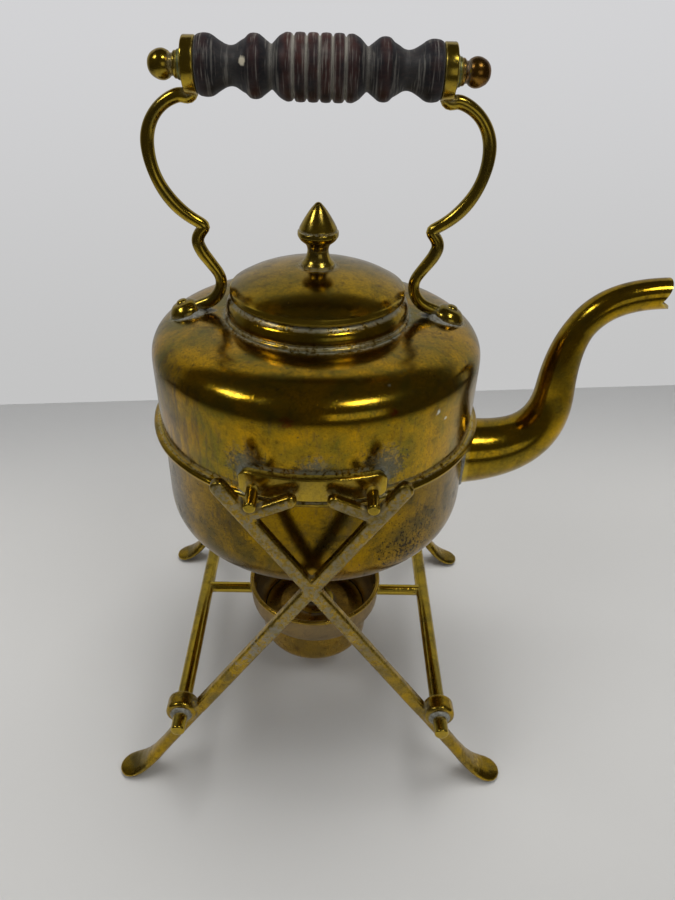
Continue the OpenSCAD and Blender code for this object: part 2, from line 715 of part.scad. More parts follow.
// Turned grip: end bead, cove, bead, neck, and a barrel with six ribs
module wooden_grip() {
  end_r = grip_r * 0.91;
  bead_r = grip_r * 0.94;
  cove_r = grip_r * 0.58;
  neck_r = grip_r * 0.63;
  groove_r = grip_r - 1;
  soft = 0.8;
  // Widths of the turned forms, from the grip's end inwards; the barrel takes the rest
  end_w = 8.4;
  cove_half = 4.6;
  bead_half = 4.2;
  neck_half = 4.1;
  cove_x = grip_half - end_w - cove_half;
  bead_x = cove_x - cove_half - bead_half;
  neck_x = bead_x - bead_half - neck_half + 1.7;
  barrel = neck_x - neck_half - 1.5;
  rib = barrel / 5.14;
  half = concat(
    [for (i = [0 : 1]) each [[groove_r, 2 * rib * i], [grip_r - 0.25, 2 * rib * i + soft],
      [grip_r, 2 * rib * i + rib], [grip_r - 0.25, 2 * rib * (i + 1) - soft]]],
    [[groove_r, 4 * rib], [grip_r - 0.3, 4 * rib + soft], [grip_r - 0.1, barrel],
     [grip_r * 0.87, neck_x - neck_half * 0.73], [neck_r, neck_x],
     [grip_r * 0.8, neck_x + neck_half * 0.63], [bead_r - 0.3, bead_x - bead_half * 0.48],
     [bead_r, bead_x], [bead_r - 0.3, bead_x + bead_half * 0.43],
     [grip_r * 0.78, bead_x + bead_half * 0.81]],
    [for (a = [-60 : 30 : 60]) [cove_r + grip_r * 0.36 * (1 - cos(a)), cove_x + a / 60 * cove_half]],
    [[grip_r * 0.84, grip_half - end_w * 0.79], [end_r - 0.4, grip_half - end_w * 0.64],
     [end_r, grip_half - end_w * 0.38], [end_r - 0.4, grip_half - end_w * 0.11],
     [end_r - 0.9, grip_half]]);
  other = [for (p = half) [p[0], -p[1]]];
  bore = rod_r + turn_fit;
  color("saddlebrown") placed() translate([0, 0, grip_z]) turned_along_x(concat(
    [[bore, -grip_half]], reversed([for (i = [1 : len(other) - 1]) other[i]]), half,
    [[bore, grip_half]]));
}

// LID

function dome_z(r) = lid_z + 1.6 + (dome_h - 1.6) * pow(1 - pow(r / (lid_r + 0.6), 2), 0.72);
dome_steps = 9;
flange_r = mouth_r + collar_lip - flange_gap;

// Spun dome with a small rolled edge and a hole for the knob's stem
module lid_dome() {
  stem = 2 + fit;
  roll_r = lid_r - 2;
  top = [
    for (i = [0 : dome_steps])
      let (r = stem + (lid_r - 0.6 - stem) * i / dome_steps)
      [r, dome_z(r)]];
  edge = [[lid_r, lid_z + 1], [lid_r - 0.5, lid_z], [roll_r, lid_z], [roll_r, dome_z(roll_r) - sheet]];
  under = [for (i = [dome_steps - 1 : -1 : 0]) [min(top[i][0], roll_r), top[i][1] - sheet]];
  color("goldenrod") placed() turned(concat(top, edge, under));
}

// Ring under the dome that keeps the lid in the mouth
module lid_flange() {
  under = sheet + rest_gap;
  color("khaki") placed() turned([
    [flange_r - sheet, lid_z - flange_h], [flange_r, lid_z - flange_h],
    [flange_r, dome_z(flange_r) - under], [flange_r - sheet, dome_z(flange_r - sheet) - under]]);
}

// Pointed knob with a ring, a waist and a flared foot, and a stem that is riveted inside
module lid_knob() {
  foot_r = knob_r * 0.82;
  waist_r = knob_r * 0.52;
  seat = dome_z(foot_r);
  stem = 2;
  ring_h = knob_h * 0.54;
  color("gold") placed() turned([
    [0, seat - sheet - 3], [stem + 2, seat - sheet - 3], [stem + 2, dome_z(0) - sheet - 1],
    [stem, dome_z(0) - sheet - 1], [stem, dome_z(stem)], [foot_r, seat + 0.05], [foot_r, seat + 1.6],
    [waist_r + 1.2, seat + 3], [waist_r + 0.2, seat + 5], [waist_r, seat + 7.4],
    [waist_r + 0.6, seat + 9.2], [knob_r - 1.2, seat + ring_h - 3.2], [knob_r, seat + ring_h - 1.2],
    [knob_r - 0.2, seat + ring_h + 0.6], [knob_r - 1, seat + ring_h + 1],
    [knob_r - 1, seat + ring_h + 1.8], [knob_r * 0.66, seat + knob_h * 0.76],
    [knob_r * 0.36, seat + knob_h * 0.9], [knob_r * 0.1, seat + knob_h * 0.99], [0, seat + knob_h]]);
}

front_frame();
back_frame();
tie_rod_left();
tie_rod_right();
peg_rings();
cup_struts();
burner_cup();
lamp_reservoir();
lamp_burner();
lamp_wick();
pour_pins();
upper_body();
lower_body();
seam_bead();
lid_collar();
spout();
spout_collar();
front_bracket();
back_bracket();
rest_pins();
handle_arm_left();
handle_arm_right();
handle_rivets();
handle_rod();
rod_washers();
finial_left();
finial_right();
wooden_grip();
lid_dome();
lid_flange();
lid_knob();
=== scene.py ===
# %% [markdown]
# # A brass spirit kettle on its stand
#
# The object is a squat tea kettle of spun brass with a swan-neck spout, a lift-off lid and a
# turned wooden grip. It hangs by four pins in the notches of two cast cross frames, over a
# small spirit lamp in a round cup. This lesson dresses a measured frame of the kettle: each
# piece is remade with finer curves and softer edges, then given the finish of old brass.
#
# The frame is loaded first.

# %% Load the measured frame
import math

import bmesh
import bpy
from mathutils import Matrix, Vector, noise


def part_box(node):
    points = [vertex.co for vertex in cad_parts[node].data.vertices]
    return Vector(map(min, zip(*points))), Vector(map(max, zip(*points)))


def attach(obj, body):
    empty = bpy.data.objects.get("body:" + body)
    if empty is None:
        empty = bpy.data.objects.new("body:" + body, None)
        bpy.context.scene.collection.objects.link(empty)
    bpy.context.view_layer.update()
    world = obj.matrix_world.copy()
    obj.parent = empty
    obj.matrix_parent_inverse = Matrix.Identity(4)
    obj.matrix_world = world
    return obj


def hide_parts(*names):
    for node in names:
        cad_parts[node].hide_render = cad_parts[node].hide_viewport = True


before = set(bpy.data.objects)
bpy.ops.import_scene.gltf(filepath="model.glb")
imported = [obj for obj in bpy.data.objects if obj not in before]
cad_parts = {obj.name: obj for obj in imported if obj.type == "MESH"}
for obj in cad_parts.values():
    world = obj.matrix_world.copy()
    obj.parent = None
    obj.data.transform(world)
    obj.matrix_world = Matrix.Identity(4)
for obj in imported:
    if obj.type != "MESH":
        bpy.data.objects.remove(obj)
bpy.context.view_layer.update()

# %% [markdown]
# ## Working in millimetres about the kettle's axis
#
# A brazier measures a kettle from its axis, because nearly every piece was spun or turned
# about it. So the pieces below are drawn in millimetres with the axis at x = 0, and one
# function moves them to the axis of the loaded frame and turns them into metres.

# %% Find the axis and the seam
MM = 0.001
lid_low, lid_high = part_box("lid_dome")
bead_low, bead_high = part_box("seam_bead")
grip_low, grip_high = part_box("wooden_grip")
axis_x = (lid_low.x + lid_high.x) / 2 / MM
seam_z = (bead_low.z + bead_high.z) / 2 / MM
grip_z = (grip_low.z + grip_high.z) / 2 / MM
print("axis x", round(axis_x, 2), "seam z", round(seam_z, 2), "grip z", round(grip_z, 2))


def to_metres(point):
    """A point about the kettle's axis in millimetres, as a place in the frame in metres."""
    return ((point[0] + axis_x) * MM, point[1] * MM, point[2] * MM)


# %% [markdown]
# ## Where the photographer stood
#
# The picture was taken with a phone's wide lens from close by and above, so the kettle's top
# looks large and its feet small. The lens and the place were worked out from the round rims,
# whose ellipses fix the angle of view. The phone was also held a little askew, which is the
# small roll.

# %% Place the camera
camera_place = (5.6, -309.6, 358.5)
look_down = 0.590
look_right = 0.0175
roll = 0.029
photo_height = 900
focal_pixels = 720

forward = Vector((math.sin(look_right) * math.cos(look_down),
                  math.cos(look_right) * math.cos(look_down), -math.sin(look_down)))
level_right = Vector((math.cos(look_right), -math.sin(look_right), 0))
level_up = level_right.cross(forward)
tilted_right = math.cos(roll) * level_right + math.sin(roll) * level_up
tilted_up = math.cos(roll) * level_up - math.sin(roll) * level_right

lens = bpy.data.cameras.new("phone_lens")
lens.sensor_fit = "VERTICAL"
lens.sensor_height = 36
lens.lens = 36 * focal_pixels / photo_height
lens.clip_start = 0.01
camera = bpy.data.objects.new("phone", lens)
bpy.context.scene.collection.objects.link(camera)
place = to_metres(camera_place)
camera.matrix_world = Matrix([(tilted_right[i], tilted_up[i], -forward[i], place[i])
                              for i in range(3)] + [(0, 0, 0, 1)])
bpy.context.scene.camera = camera
print("lens", round(lens.lens, 1), "mm at", [round(v, 3) for v in camera.matrix_world.translation])

# %% [markdown]
# ## From points to a piece
#
# Every piece ends the same way: its points become a mesh, doubled points are welded, edges
# where the surface turns sharply stay crisp and the rest is shaded smooth. Then the piece is
# told which body of the frame carries it and which measured solids it stands for.

# %% Make a piece of the kettle
made = {}


def add_piece(name, points, faces, body, nodes=(), sharp=38):
    """Builds one piece from points in millimetres and lets it ride on a body."""
    mesh = bpy.data.meshes.new(name)
    mesh.from_pydata([to_metres(p) for p in points], [], faces)
    shape = bmesh.new()
    shape.from_mesh(mesh)
    bmesh.ops.remove_doubles(shape, verts=shape.verts, dist=0.000002)
    bmesh.ops.dissolve_degenerate(shape, dist=0.000001, edges=shape.edges)
    bmesh.ops.recalc_face_normals(shape, faces=shape.faces)
    for edge in shape.edges:
        if len(edge.link_faces) == 2:
            edge.smooth = edge.calc_face_angle() < math.radians(sharp)
    for face in shape.faces:
        face.smooth = True
    shape.to_mesh(mesh)
    shape.free()
    piece = bpy.data.objects.new(name, mesh)
    bpy.context.scene.collection.objects.link(piece)
    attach(piece, body)
    if nodes:
        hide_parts(*nodes)
    made[name] = piece
    return piece


# %% [markdown]
# ## Turned and spun shapes
#
# A spun or turned piece is one outline carried round an axis. The outline is written as a few
# corner points with a rounding for each, as a turner would note them, and a helper turns each
# corner into a short arc. Soft corners matter on metal: they are what catches a thin line of
# light. Bevelling the finished mesh would also work, but rounding the outline keeps the
# surface made of clean rings.

# %% Round the corners of an outline
def softened(corners, steps=4):
    """Outline with each corner (r, z, rounding) replaced by a short arc."""
    out = []
    count = len(corners)
    for i, (r, z, rounding) in enumerate(corners):
        here = Vector((r, z))
        if rounding == 0:
            out.append((r, z))
            continue
        before = Vector(corners[i - 1][:2]) - here
        after = Vector(corners[(i + 1) % count][:2]) - here
        reach = min(rounding, before.length * 0.48, after.length * 0.48)
        start = here + before.normalized() * reach
        end = here + after.normalized() * reach
        for k in range(steps + 1):
            t = k / steps
            point = start * (1 - t) ** 2 + here * 2 * t * (1 - t) + end * t ** 2
            out.append((point.x, point.y))
    return out


print("a corner of 1 mm gets", len(softened([(0, 0, 0), (5, 0, 1), (5, 5, 0)])) - 2, "points")

# %% [markdown]
# Turning copies the outline round the axis and joins each copy to the next by squares. Most
# shapes here are such rows of rings, so the squares have a helper of their own. Two more
# helpers mirror a shape and put several together, because the kettle is the same in front and
# at the back, and its stand and handle are the same on both sides.

# %% Turn an outline, mirror shapes and join them
def ring_faces(rings, count, closed=False):
    """Squares between neighbouring rings of points. Closed joins the last ring to the first."""
    faces = []
    for s in range(rings if closed else rings - 1):
        step = ((s + 1) % rings - s) * count
        for k in range(count):
            a, b = s * count + k, s * count + (k + 1) % count
            faces.append((a, a + step, b + step, b))
    return faces


def capped(rings, count):
    """The squares of a row of rings, and one face over each of its ends."""
    last = (rings - 1) * count
    return ring_faces(rings, count) + [tuple(range(count)), tuple(range(last, last + count))[::-1]]


def turned(outline, sides, axis="z", centre=(0, 0, 0), wobble=None):
    """Points and faces of a closed outline of (radius, height) turned about an axis."""
    points = []
    for s in range(sides):
        angle = 2 * math.pi * s / sides
        for r, h in outline:
            a, b = r * math.cos(angle), r * math.sin(angle)
            local = {"z": (a, b, h), "x": (h, a, b), "y": (b, h, a)}[axis]
            place = [local[i] + centre[i] for i in range(3)]
            points.append(wobble(place) if wobble else place)
    return points, ring_faces(sides, len(outline), closed=True)


def mirrored(shape, axis):
    """The shape on the other side of the kettle's axis: 0 swaps left and right, 1 front and back."""
    points, faces = shape
    return [[-v if i == axis else v for i, v in enumerate(p)] for p in points], faces


def joined(*shapes):
    """Several closed shapes as one list of points and faces."""
    points, faces = [], []
    for shape_points, shape_faces in shapes:
        start = len(points)
        points += shape_points
        faces += [tuple(start + i for i in face) for face in shape_faces]
    return points, faces


def both_sides(shape, axis):
    """The shape and its mirror image as one."""
    return joined(shape, mirrored(shape, axis))


print("four rings of six points are joined by", len(ring_faces(4, 6)), "squares")

# %% [markdown]
# ## The body
#
# The kettle's body is two spun halves that meet at a seam. The shoulder is broad and flat on
# top and turns down quickly at its edge. The wall was planished and knocked about for a
# century, so its reflections waver: each point is moved in or out by a hair, by smooth noise
# about as wide as a thumb. That is real shape, so the light finds it from every side.

# %% Draw the shoulder's curve and the dents
sheet = 1.2
body_r, seam_r, bowl_r, mouth_r = 76.0, 75.4, 74.5, 35.5
wall_top = seam_z + 32.5
bowl_foot = seam_z - 34.5
top_z = wall_top + 18


def shoulder(r, width, height, z, down=False, steps=40):
    """Quarter curve that is fuller than a circle, from near the axis out to the wall."""
    nearly_up, fullness = 86, 0.7
    out = []
    for i in range(steps + 1):
        angle = math.radians(nearly_up * (1 - i / steps))
        rise = height * math.sin(angle) ** fullness
        out.append((r - width + width * math.cos(angle) ** fullness, z - rise if down else z + rise))
    return out


def dented(place, depth=0.09, spacing=24):
    """A place on the wall moved in or out by smooth noise."""
    flat = Vector((place[0], place[1], 0))
    amount = noise.noise(Vector(place) / spacing) + 0.5 * noise.noise(Vector(place) / spacing * 2.3)
    push = flat.normalized() * amount * depth if flat.length > 20 else Vector()
    return (place[0] + push.x, place[1] + push.y, place[2] + amount * depth * 0.4)


def straight(start, end, steps):
    """Points between two ends of an outline, without the ends."""
    return [(start[0] + (end[0] - start[0]) * k / steps, start[1] + (end[1] - start[1]) * k / steps)
            for k in range(1, steps)]


def flat_ring(r0, r1, z, steps):
    """Points of a level stretch of an outline, without its last one."""
    return [(r0 + (r1 - r0) * k / steps, z) for k in range(steps)]


print("the wall ends", round(wall_top - seam_z, 1), "mm over the seam and the shoulder at", round(top_z, 1))

# %% [markdown]
# Both halves are shells. Each outline runs along the outer face and comes back along the inner
# one, a sheet's thickness away. The seam is a folded bead over their joint.

# %% Spin the upper half, the bowl and the seam
upper_out = (flat_ring(mouth_r, body_r - 35, top_z, 3) + shoulder(body_r, 38, 18, wall_top)
             + straight((body_r, wall_top), (seam_r, seam_z), 12) + [(seam_r, seam_z)])
upper_in = (flat_ring(mouth_r, body_r - 36, top_z - sheet, 3)
            + shoulder(body_r - sheet, 38 - sheet, 18 - sheet, wall_top)
            + [(seam_r - sheet, seam_z)])
add_piece("upper_body_shell", *turned(upper_out + upper_in[::-1], 288, wobble=dented),
          "kettle", ["upper_body"])

bowl_out = ([(seam_r, seam_z), (bowl_r + 0.2, seam_z - 3.0), (bowl_r, seam_z - 4.0)]
            + straight((bowl_r, seam_z - 4), (bowl_r, bowl_foot), 12)
            + shoulder(bowl_r, 42, 26, bowl_foot, down=True)[::-1])
base_z = bowl_out[-1][1]
bowl_out += [(24, base_z), (12, base_z), (0, base_z)]
bowl_in = ([(seam_r - sheet, seam_z), (bowl_r - sheet, seam_z - 4)]
           + shoulder(bowl_r - sheet, 42 - sheet, 26 - sheet, bowl_foot, down=True)[::-1]
           + [(0, base_z + sheet)])
lower_body = add_piece("bowl_shell", *turned(bowl_out + bowl_in[::-1], 288, wobble=dented),
                       "kettle", ["lower_body"])

bead_outline = softened([(seam_r - 0.1, seam_z - 1.9, 0), (seam_r + 2.4, seam_z - 1.75, 0.9),
                         (seam_r + 3.5, seam_z - 0.5, 1.2), (seam_r + 3.3, seam_z + 0.9, 1.0),
                         (seam_r + 1.9, seam_z + 1.8, 1.0), (seam_r + 0.1, seam_z + 1.8, 0)])
add_piece("folded_seam", *turned(bead_outline, 288, wobble=lambda p: dented(p, 0.12, 30)),
          "kettle", ["seam_bead"])
print("body", round(2 * body_r), "mm across, from", round(base_z, 1), "to", round(top_z, 1))

# %% [markdown]
# The bowl needs the hole that the spout opens from. A cylinder is cut out of the shell with
# Blender's Boolean modifier, which is then applied, as a brazier would cut the hole before
# soldering the spout on.

# %% Cut the spout's hole in the bowl
root_z = seam_z - 23.5
bpy.context.view_layer.update()
punch = bpy.data.objects.new("punch", bpy.data.meshes.new("punch"))
punch_points, punch_faces = turned([(0, 60), (14, 60), (14, 90), (0, 90)], 48, "x", (0, 0, root_z))
punch.data.from_pydata([to_metres(p) for p in punch_points], [], punch_faces)
cutter = bmesh.new()
cutter.from_mesh(punch.data)
bmesh.ops.remove_doubles(cutter, verts=cutter.verts, dist=0.000002)
bmesh.ops.recalc_face_normals(cutter, faces=cutter.faces)
cutter.to_mesh(punch.data)
cutter.free()
bpy.context.scene.collection.objects.link(punch)
hole = lower_body.modifiers.new("hole", "BOOLEAN")
hole.object, hole.operation, hole.solver = punch, "DIFFERENCE", "EXACT"


def apply_modifiers(piece):
    """Turns what the modifiers make into the piece's own mesh."""
    graph = bpy.context.evaluated_depsgraph_get()
    final = bpy.data.meshes.new_from_object(piece.evaluated_get(graph))
    piece.modifiers.clear()
    piece.data = final


apply_modifiers(lower_body)
bpy.data.objects.remove(punch)
print("bowl with its hole:", len(lower_body.data.polygons), "faces")

# %% [markdown]
# ## Collar, lid and knob
#
# The lid sits on a convex collar that is soldered round the mouth. Its dome runs out to a thin
# rolled edge. The knob was turned from solid brass: a pointed cap like an acorn, a crisp ring,
# a waist and a flared foot. All are outlines with rounded corners.

# %% Spin the collar and the lid, and turn the knob
collar_top = seam_z + 60.1
lid_base = collar_top + 0.3
collar_outline = softened([
    (mouth_r, top_z, 0), (42.0, top_z, 0.2), (42.0, top_z + 0.9, 0.5), (40.9, top_z + 1.7, 0.3),
    (41.3, top_z + 2.6, 0.6), (41.35, top_z + 4.6, 1.2), (40.6, top_z + 6.9, 1.4),
    (38.7, top_z + 8.4, 0.5), (37.8, collar_top, 0.3), (36.9, collar_top, 0),
    (36.9, top_z + 2, 0), (mouth_r, top_z + 2, 0)])
add_piece("lid_seat_collar", *turned(collar_outline, 224), "kettle", ["lid_collar"])

lid_r = 39.4


def dome_z(r):
    """Height of the lid's top at a distance from its axis."""
    return lid_base + 1.6 + 11 * (1 - (r / (lid_r + 0.6)) ** 2) ** 0.72


dome_out = [(lid_r * k / 30, dome_z(lid_r * k / 30)) for k in range(30)]
rolled = [(lid_r - 0.35, dome_z(lid_r - 0.6) + 0.15), (lid_r, lid_base + 1.3),
          (lid_r - 0.05, lid_base + 0.5), (lid_r - 0.6, lid_base), (lid_r - 2, lid_base),
          (lid_r - 2.1, dome_z(lid_r - 2) - sheet)]
dome_in = [(lid_r * k / 30, dome_z(lid_r * k / 30) - sheet) for k in range(28)]
add_piece("domed_lid", *turned(dome_out + rolled + dome_in[::-1], 224,
                               wobble=lambda p: dented(p, 0.05, 15)), "lid", ["lid_dome"])

knob_foot = dome_z(7.4)
knob_outline = softened([
    (0, knob_foot - 4, 0), (4, knob_foot - 4, 0), (4, knob_foot - 1.6, 0), (2, knob_foot - 1.6, 0),
    (2, knob_foot - 0.4, 0), (7.4, knob_foot - 0.1, 0), (7.5, knob_foot + 1.2, 0.6),
    (5.9, knob_foot + 2.9, 1.0), (4.8, knob_foot + 5.4, 1.4), (4.6, knob_foot + 7.6, 1.2),
    (5.3, knob_foot + 9.6, 0.9), (7.9, knob_foot + 11.6, 0.8), (9.0, knob_foot + 13.4, 0.6),
    (8.9, knob_foot + 15.2, 0.3), (8.1, knob_foot + 15.5, 0.2), (8.2, knob_foot + 16.5, 0.5),
    (6.1, knob_foot + 20.4, 3.0), (3.3, knob_foot + 24.6, 2.6), (1.0, knob_foot + 27.1, 0.8),
    (0, knob_foot + 27.4, 0)])
add_piece("acorn_knob", *turned(knob_outline, 72), "lid", ["lid_knob"])
print("lid", round(2 * lid_r, 1), "mm across, knob top at", round(knob_foot + 27.4, 1))

# %% [markdown]
# ## Tubes and bars along a curve
#
# The spout was bent from a tapered tube and the handle's arms from round bar. Both are one
# section carried along a line. A curve object with a bevel would do for the arms, but the
# spout needs a wall, a taper and a cut mouth, so one helper carries any section along any line
# in the kettle's middle plane.

# %% Carry a section along a line
def bezier(a, b, c, d, t):
    """Point of a curve from a to d that sets out towards b and comes in from c."""
    u = 1 - t
    return [a[i] * u ** 3 + 3 * b[i] * t * u ** 2 + 3 * c[i] * t * t * u + d[i] * t ** 3
            for i in range(2)]


def headings(line):
    """Unit direction at each point of a line of (x, z)."""
    out = []
    for i in range(len(line)):
        a, b = line[max(i - 1, 0)], line[min(i + 1, len(line) - 1)]
        d = Vector((b[0] - a[0], b[1] - a[1]))
        out.append(d.normalized())
    return out


def bar_along(line, section, sides=28, y=0.0):
    """Closed bar: section(i, angle) gives (across the line in its plane, along Y)."""
    points = []
    for i, (place, way) in enumerate(zip(line, headings(line))):
        for k in range(sides):
            across, side = section(i, 2 * math.pi * k / sides)
            points.append((place[0] - way[1] * across, y + side, place[1] + way[0] * across))
    return points, capped(len(line), sides)


rise = headings([(0, 0), (3, 4)])[0]
print("a line from (0, 0) to (3, 4) heads for", [round(v, 2) for v in rise])

# %% [markdown]
# An arm's line is put together from arcs and single points, whose joints would show as kinks.
# So it is walked in even steps, and each step then moves a little towards its neighbours.

# %% Draw an arc and even out a line
def arc_line(x, z, r, start, end, steps):
    """Points of an arc about (x, z) between two angles in degrees."""
    angles = [math.radians(start + (end - start) * i / steps) for i in range(steps + 1)]
    return [(x + r * math.cos(angle), z + r * math.sin(angle)) for angle in angles]


def evened(line, spacing):
    """The same line with evenly spaced points, a little relaxed, so that a bend has no kinks."""
    lengths = [0.0]
    for a, b in zip(line, line[1:]):
        lengths.append(lengths[-1] + math.dist(a, b))
    count = max(int(lengths[-1] / spacing), 4)
    out, j = [], 0
    for i in range(count + 1):
        want = lengths[-1] * i / count
        while j < len(line) - 2 and lengths[j + 1] < want:
            j += 1
        t = (want - lengths[j]) / max(lengths[j + 1] - lengths[j], 1e-6)
        out.append(tuple(line[j][n] * (1 - t) + line[j + 1][n] * t for n in range(2)))
    for _ in range(3):
        relaxed = [tuple((a[n] + 2 * b[n] + c[n]) / 4 for n in range(2))
                   for a, b, c in zip(out, out[1:], out[2:])]
        out = [out[0]] + relaxed + [out[-1]]
    return out


quarter = evened(arc_line(0, 0, 10, 0, 90, 30), 1)
print("a quarter circle of radius 10 in steps of 1 mm has", len(quarter), "points")


# %% [markdown]
# ## The swan-neck spout
#
# It leaves the bowl level, swings up, and bends over at the top. It tapers over the lower two
# thirds. The mouth is cut back at both cheeks, deepest near the lower lip, which leaves a long
# upper lip and a short lower one, like a fish's mouth. The tube has a real wall, so the dark
# inside shows in the cut.

# %% Draw the spout's line, its taper and its cut
spout_root = (bowl_r + 0.05, root_z)
spout_waist = (116.5, seam_z + 14)
spout_end = (160.0, seam_z + 63.5)
spout_rings, spout_sides = 140, 64
tip_r, root_r, taper_end, cut_start = 7, 17, 0.70, 0.84


def spout_place(t):
    """Middle of the spout, from its root at t = 0 to its mouth at t = 1."""
    if t < 0.5:
        return bezier(spout_root, (spout_root[0] + 27, spout_root[1] + 1),
                      (spout_waist[0] + 0.5, spout_waist[1] - 27), spout_waist, 2 * t)
    return bezier(spout_waist, (spout_waist[0], spout_waist[1] + 34),
                  (spout_end[0] - 33, spout_end[1] - 1), spout_end, 2 * t - 1)


def spout_radius(t):
    """Outer radius, which shrinks up to the end of the taper."""
    return tip_r + (root_r - tip_r) * max(0.0, 1 - t / taper_end) ** 1.15


def mouth_cut(up):
    """How far the mouth is cut back at a height from -1, its lower lip, to 1, its upper lip."""
    if up > -0.3:
        return 1.6 + 4.8 * ((1 - up) / 1.3) ** 1.3
    return 0.3 + 6.1 * max((up + 1) / 0.7, 0) ** 0.9


print("the mouth is cut back", round(mouth_cut(-0.3), 1), "mm at most, and", mouth_cut(1), "at its upper lip")

# %% [markdown]
# Every ring of the spout stands across its line. The first ring follows the bowl's wall instead,
# and the last ones are pushed back to the cut of the mouth. The inner skin is the same with a
# smaller radius.

# %% Bend the spout
def spout_skin(inward):
    """Rings of points along the spout; the first follows the bowl and the last ones are cut."""
    line = [spout_place(i / spout_rings) for i in range(spout_rings + 1)]
    out = []
    for i, (place, way) in enumerate(zip(line, headings(line))):
        t = i / spout_rings
        r = spout_radius(t) - inward
        for k in range(spout_sides):
            angle = 2 * math.pi * k / spout_sides
            y, rise = r * math.cos(angle), r * math.sin(angle)
            cut = -mouth_cut(math.sin(angle)) * max(0.0, t - cut_start) / (1 - cut_start)
            if i == 0:
                out.append((math.sqrt((bowl_r - 0.3) ** 2 - y * y), y, place[1] + rise))
            else:
                out.append((place[0] - way[1] * rise + way[0] * cut, y,
                            place[1] + way[0] * rise + way[1] * cut))
    return out


outer, inner = spout_skin(0), spout_skin(sheet)
skin = ring_faces(spout_rings + 1, spout_sides)
shift, last = len(outer), spout_rings * spout_sides
skin += [tuple(shift + i for i in face[::-1]) for face in skin]
for k in range(spout_sides):
    b = (k + 1) % spout_sides
    skin.append((k, b, b + shift, k + shift))
    skin.append((last + b, last + k, last + k + shift, last + b + shift))
add_piece("swan_neck_spout", [dented(p, 0.07, 20) for p in outer + inner], skin, "kettle", ["spout"])
print("spout reaches", round(spout_end[0] + axis_x, 1), "mm and rises to", round(spout_end[1] + tip_r, 1))

# %% [markdown]
# The spout is soldered to the bowl. The solder stands as a low uneven fillet, so it is a ring
# that follows the bowl's curve, thicker in some places than in others.

# %% Run solder round the spout's root
fillet_r, fillet_thick = 17.1, 1.35


def fillet_ring(centre_r, thick, sides=120, rounds=10):
    """Uneven ring of solder where a tube of radius centre_r meets the bowl."""
    points = []
    for s in range(sides):
        angle = 2 * math.pi * s / sides
        y, rise = math.cos(angle), math.sin(angle)
        swell = thick * (1 + 0.35 * noise.noise(Vector((3 * y, 3 * rise, 0.3))))
        for k in range(rounds):
            turn = 2 * math.pi * k / rounds
            r = centre_r + swell * 0.85 * math.cos(turn)
            foot = math.sqrt(bowl_r ** 2 - (r * y) ** 2)
            points.append((foot + swell * 0.9 * math.sin(turn), r * y, root_z + r * rise))
    return points, ring_faces(sides, rounds, closed=True)


add_piece("spout_solder", *fillet_ring(fillet_r, fillet_thick), "kettle", ["spout_collar"])
print("solder ring", 2 * fillet_r, "mm across")

# %% [markdown]
# ## The handle
#
# Each arm starts at a flat eye on the grip's rod, swings out in a half circle and comes down in
# a long curve. Low down it has a double bend, out and back in, before it curls to a round pad
# that is riveted and soldered to the shoulder. The arms are mirror images, so one is drawn and
# the other is mirrored.

# %% Bend the arm's line
arm_r, eye_r, eye_x, eye_half, rod_hole = 2.65, 10.2, 49.4, 2.4, 3.05
reach = 19.8
bend_z = grip_z - eye_r + 0.6 - reach
kink_z = bend_z - 31.8
neck_z = kink_z - 24.1
pad_slope = math.radians(20)
swing_in = [(eye_x, grip_z - 5), (eye_x, grip_z - 7.5), (eye_x + 0.1, grip_z - 9.0)]
elbow = arc_line(eye_x + 3.2, grip_z - 8.6, 3.1, 190, 235, 4)
half_circle = arc_line(eye_x, bend_z, reach, 76, 0, 20)
long_curve = arc_line(eye_x + reach - 34, bend_z, 34, -4, -58, 26)
double_bend = [(48.2, kink_z), (50.3, kink_z - 2.2), (52.0, kink_z - 4.8), (52.2, kink_z - 7.4),
               (50.4, kink_z - 11.5), (46.9, kink_z - 16.4), (44.2, kink_z - 20.2), (43.1, kink_z - 22.9)]
curl = arc_line(54.5, neck_z, 11.5, 184, 245, 12)
arm_end = [(59, curl[-1][1] - (59 - curl[-1][0]) * math.tan(pad_slope))]
arm_line = evened(swing_in + elbow + half_circle + long_curve + double_bend + curl + arm_end, 0.9)
print("arm line of", len(arm_line), "points, down to", round(arm_line[-1][1], 1))

# %% [markdown]
# Eye, pad, solder and rivet are low turned shapes. The eye stands on the rod. The other three
# are drawn upright at the origin and set together on the slope of the shoulder.

# %% Make the arms with their eyes, pads, solder and rivets
def arm_section(i, angle):
    """Round section that swells and thins a little along the arm, as a forged bar does."""
    flat = 1 + 0.05 * math.sin(i * 0.21)
    return arm_r * math.cos(angle) * flat, arm_r * math.sin(angle)


rivet_x = 60
pad_z = seam_z + 32.5 + 18 * (1 - ((rivet_x - 38) / 38) ** (2 / 0.7)) ** 0.35 + 0.4


def tilted(shape):
    """A shape drawn upright at the origin, set on the shoulder where the rivet is."""
    points, faces = shape
    c, s = math.cos(pad_slope), math.sin(pad_slope)
    return [(rivet_x + x * c + z * s, y, pad_z - x * s + z * c) for x, y, z in points], faces


def lumpy(place):
    """A point of the pads' solder moved a little, because solder sets unevenly."""
    return (place[0] * (1 + 0.05 * noise.noise(Vector(place) * 0.4)),
            place[1] * (1 + 0.08 * noise.noise(Vector(place) * 0.5)), place[2])


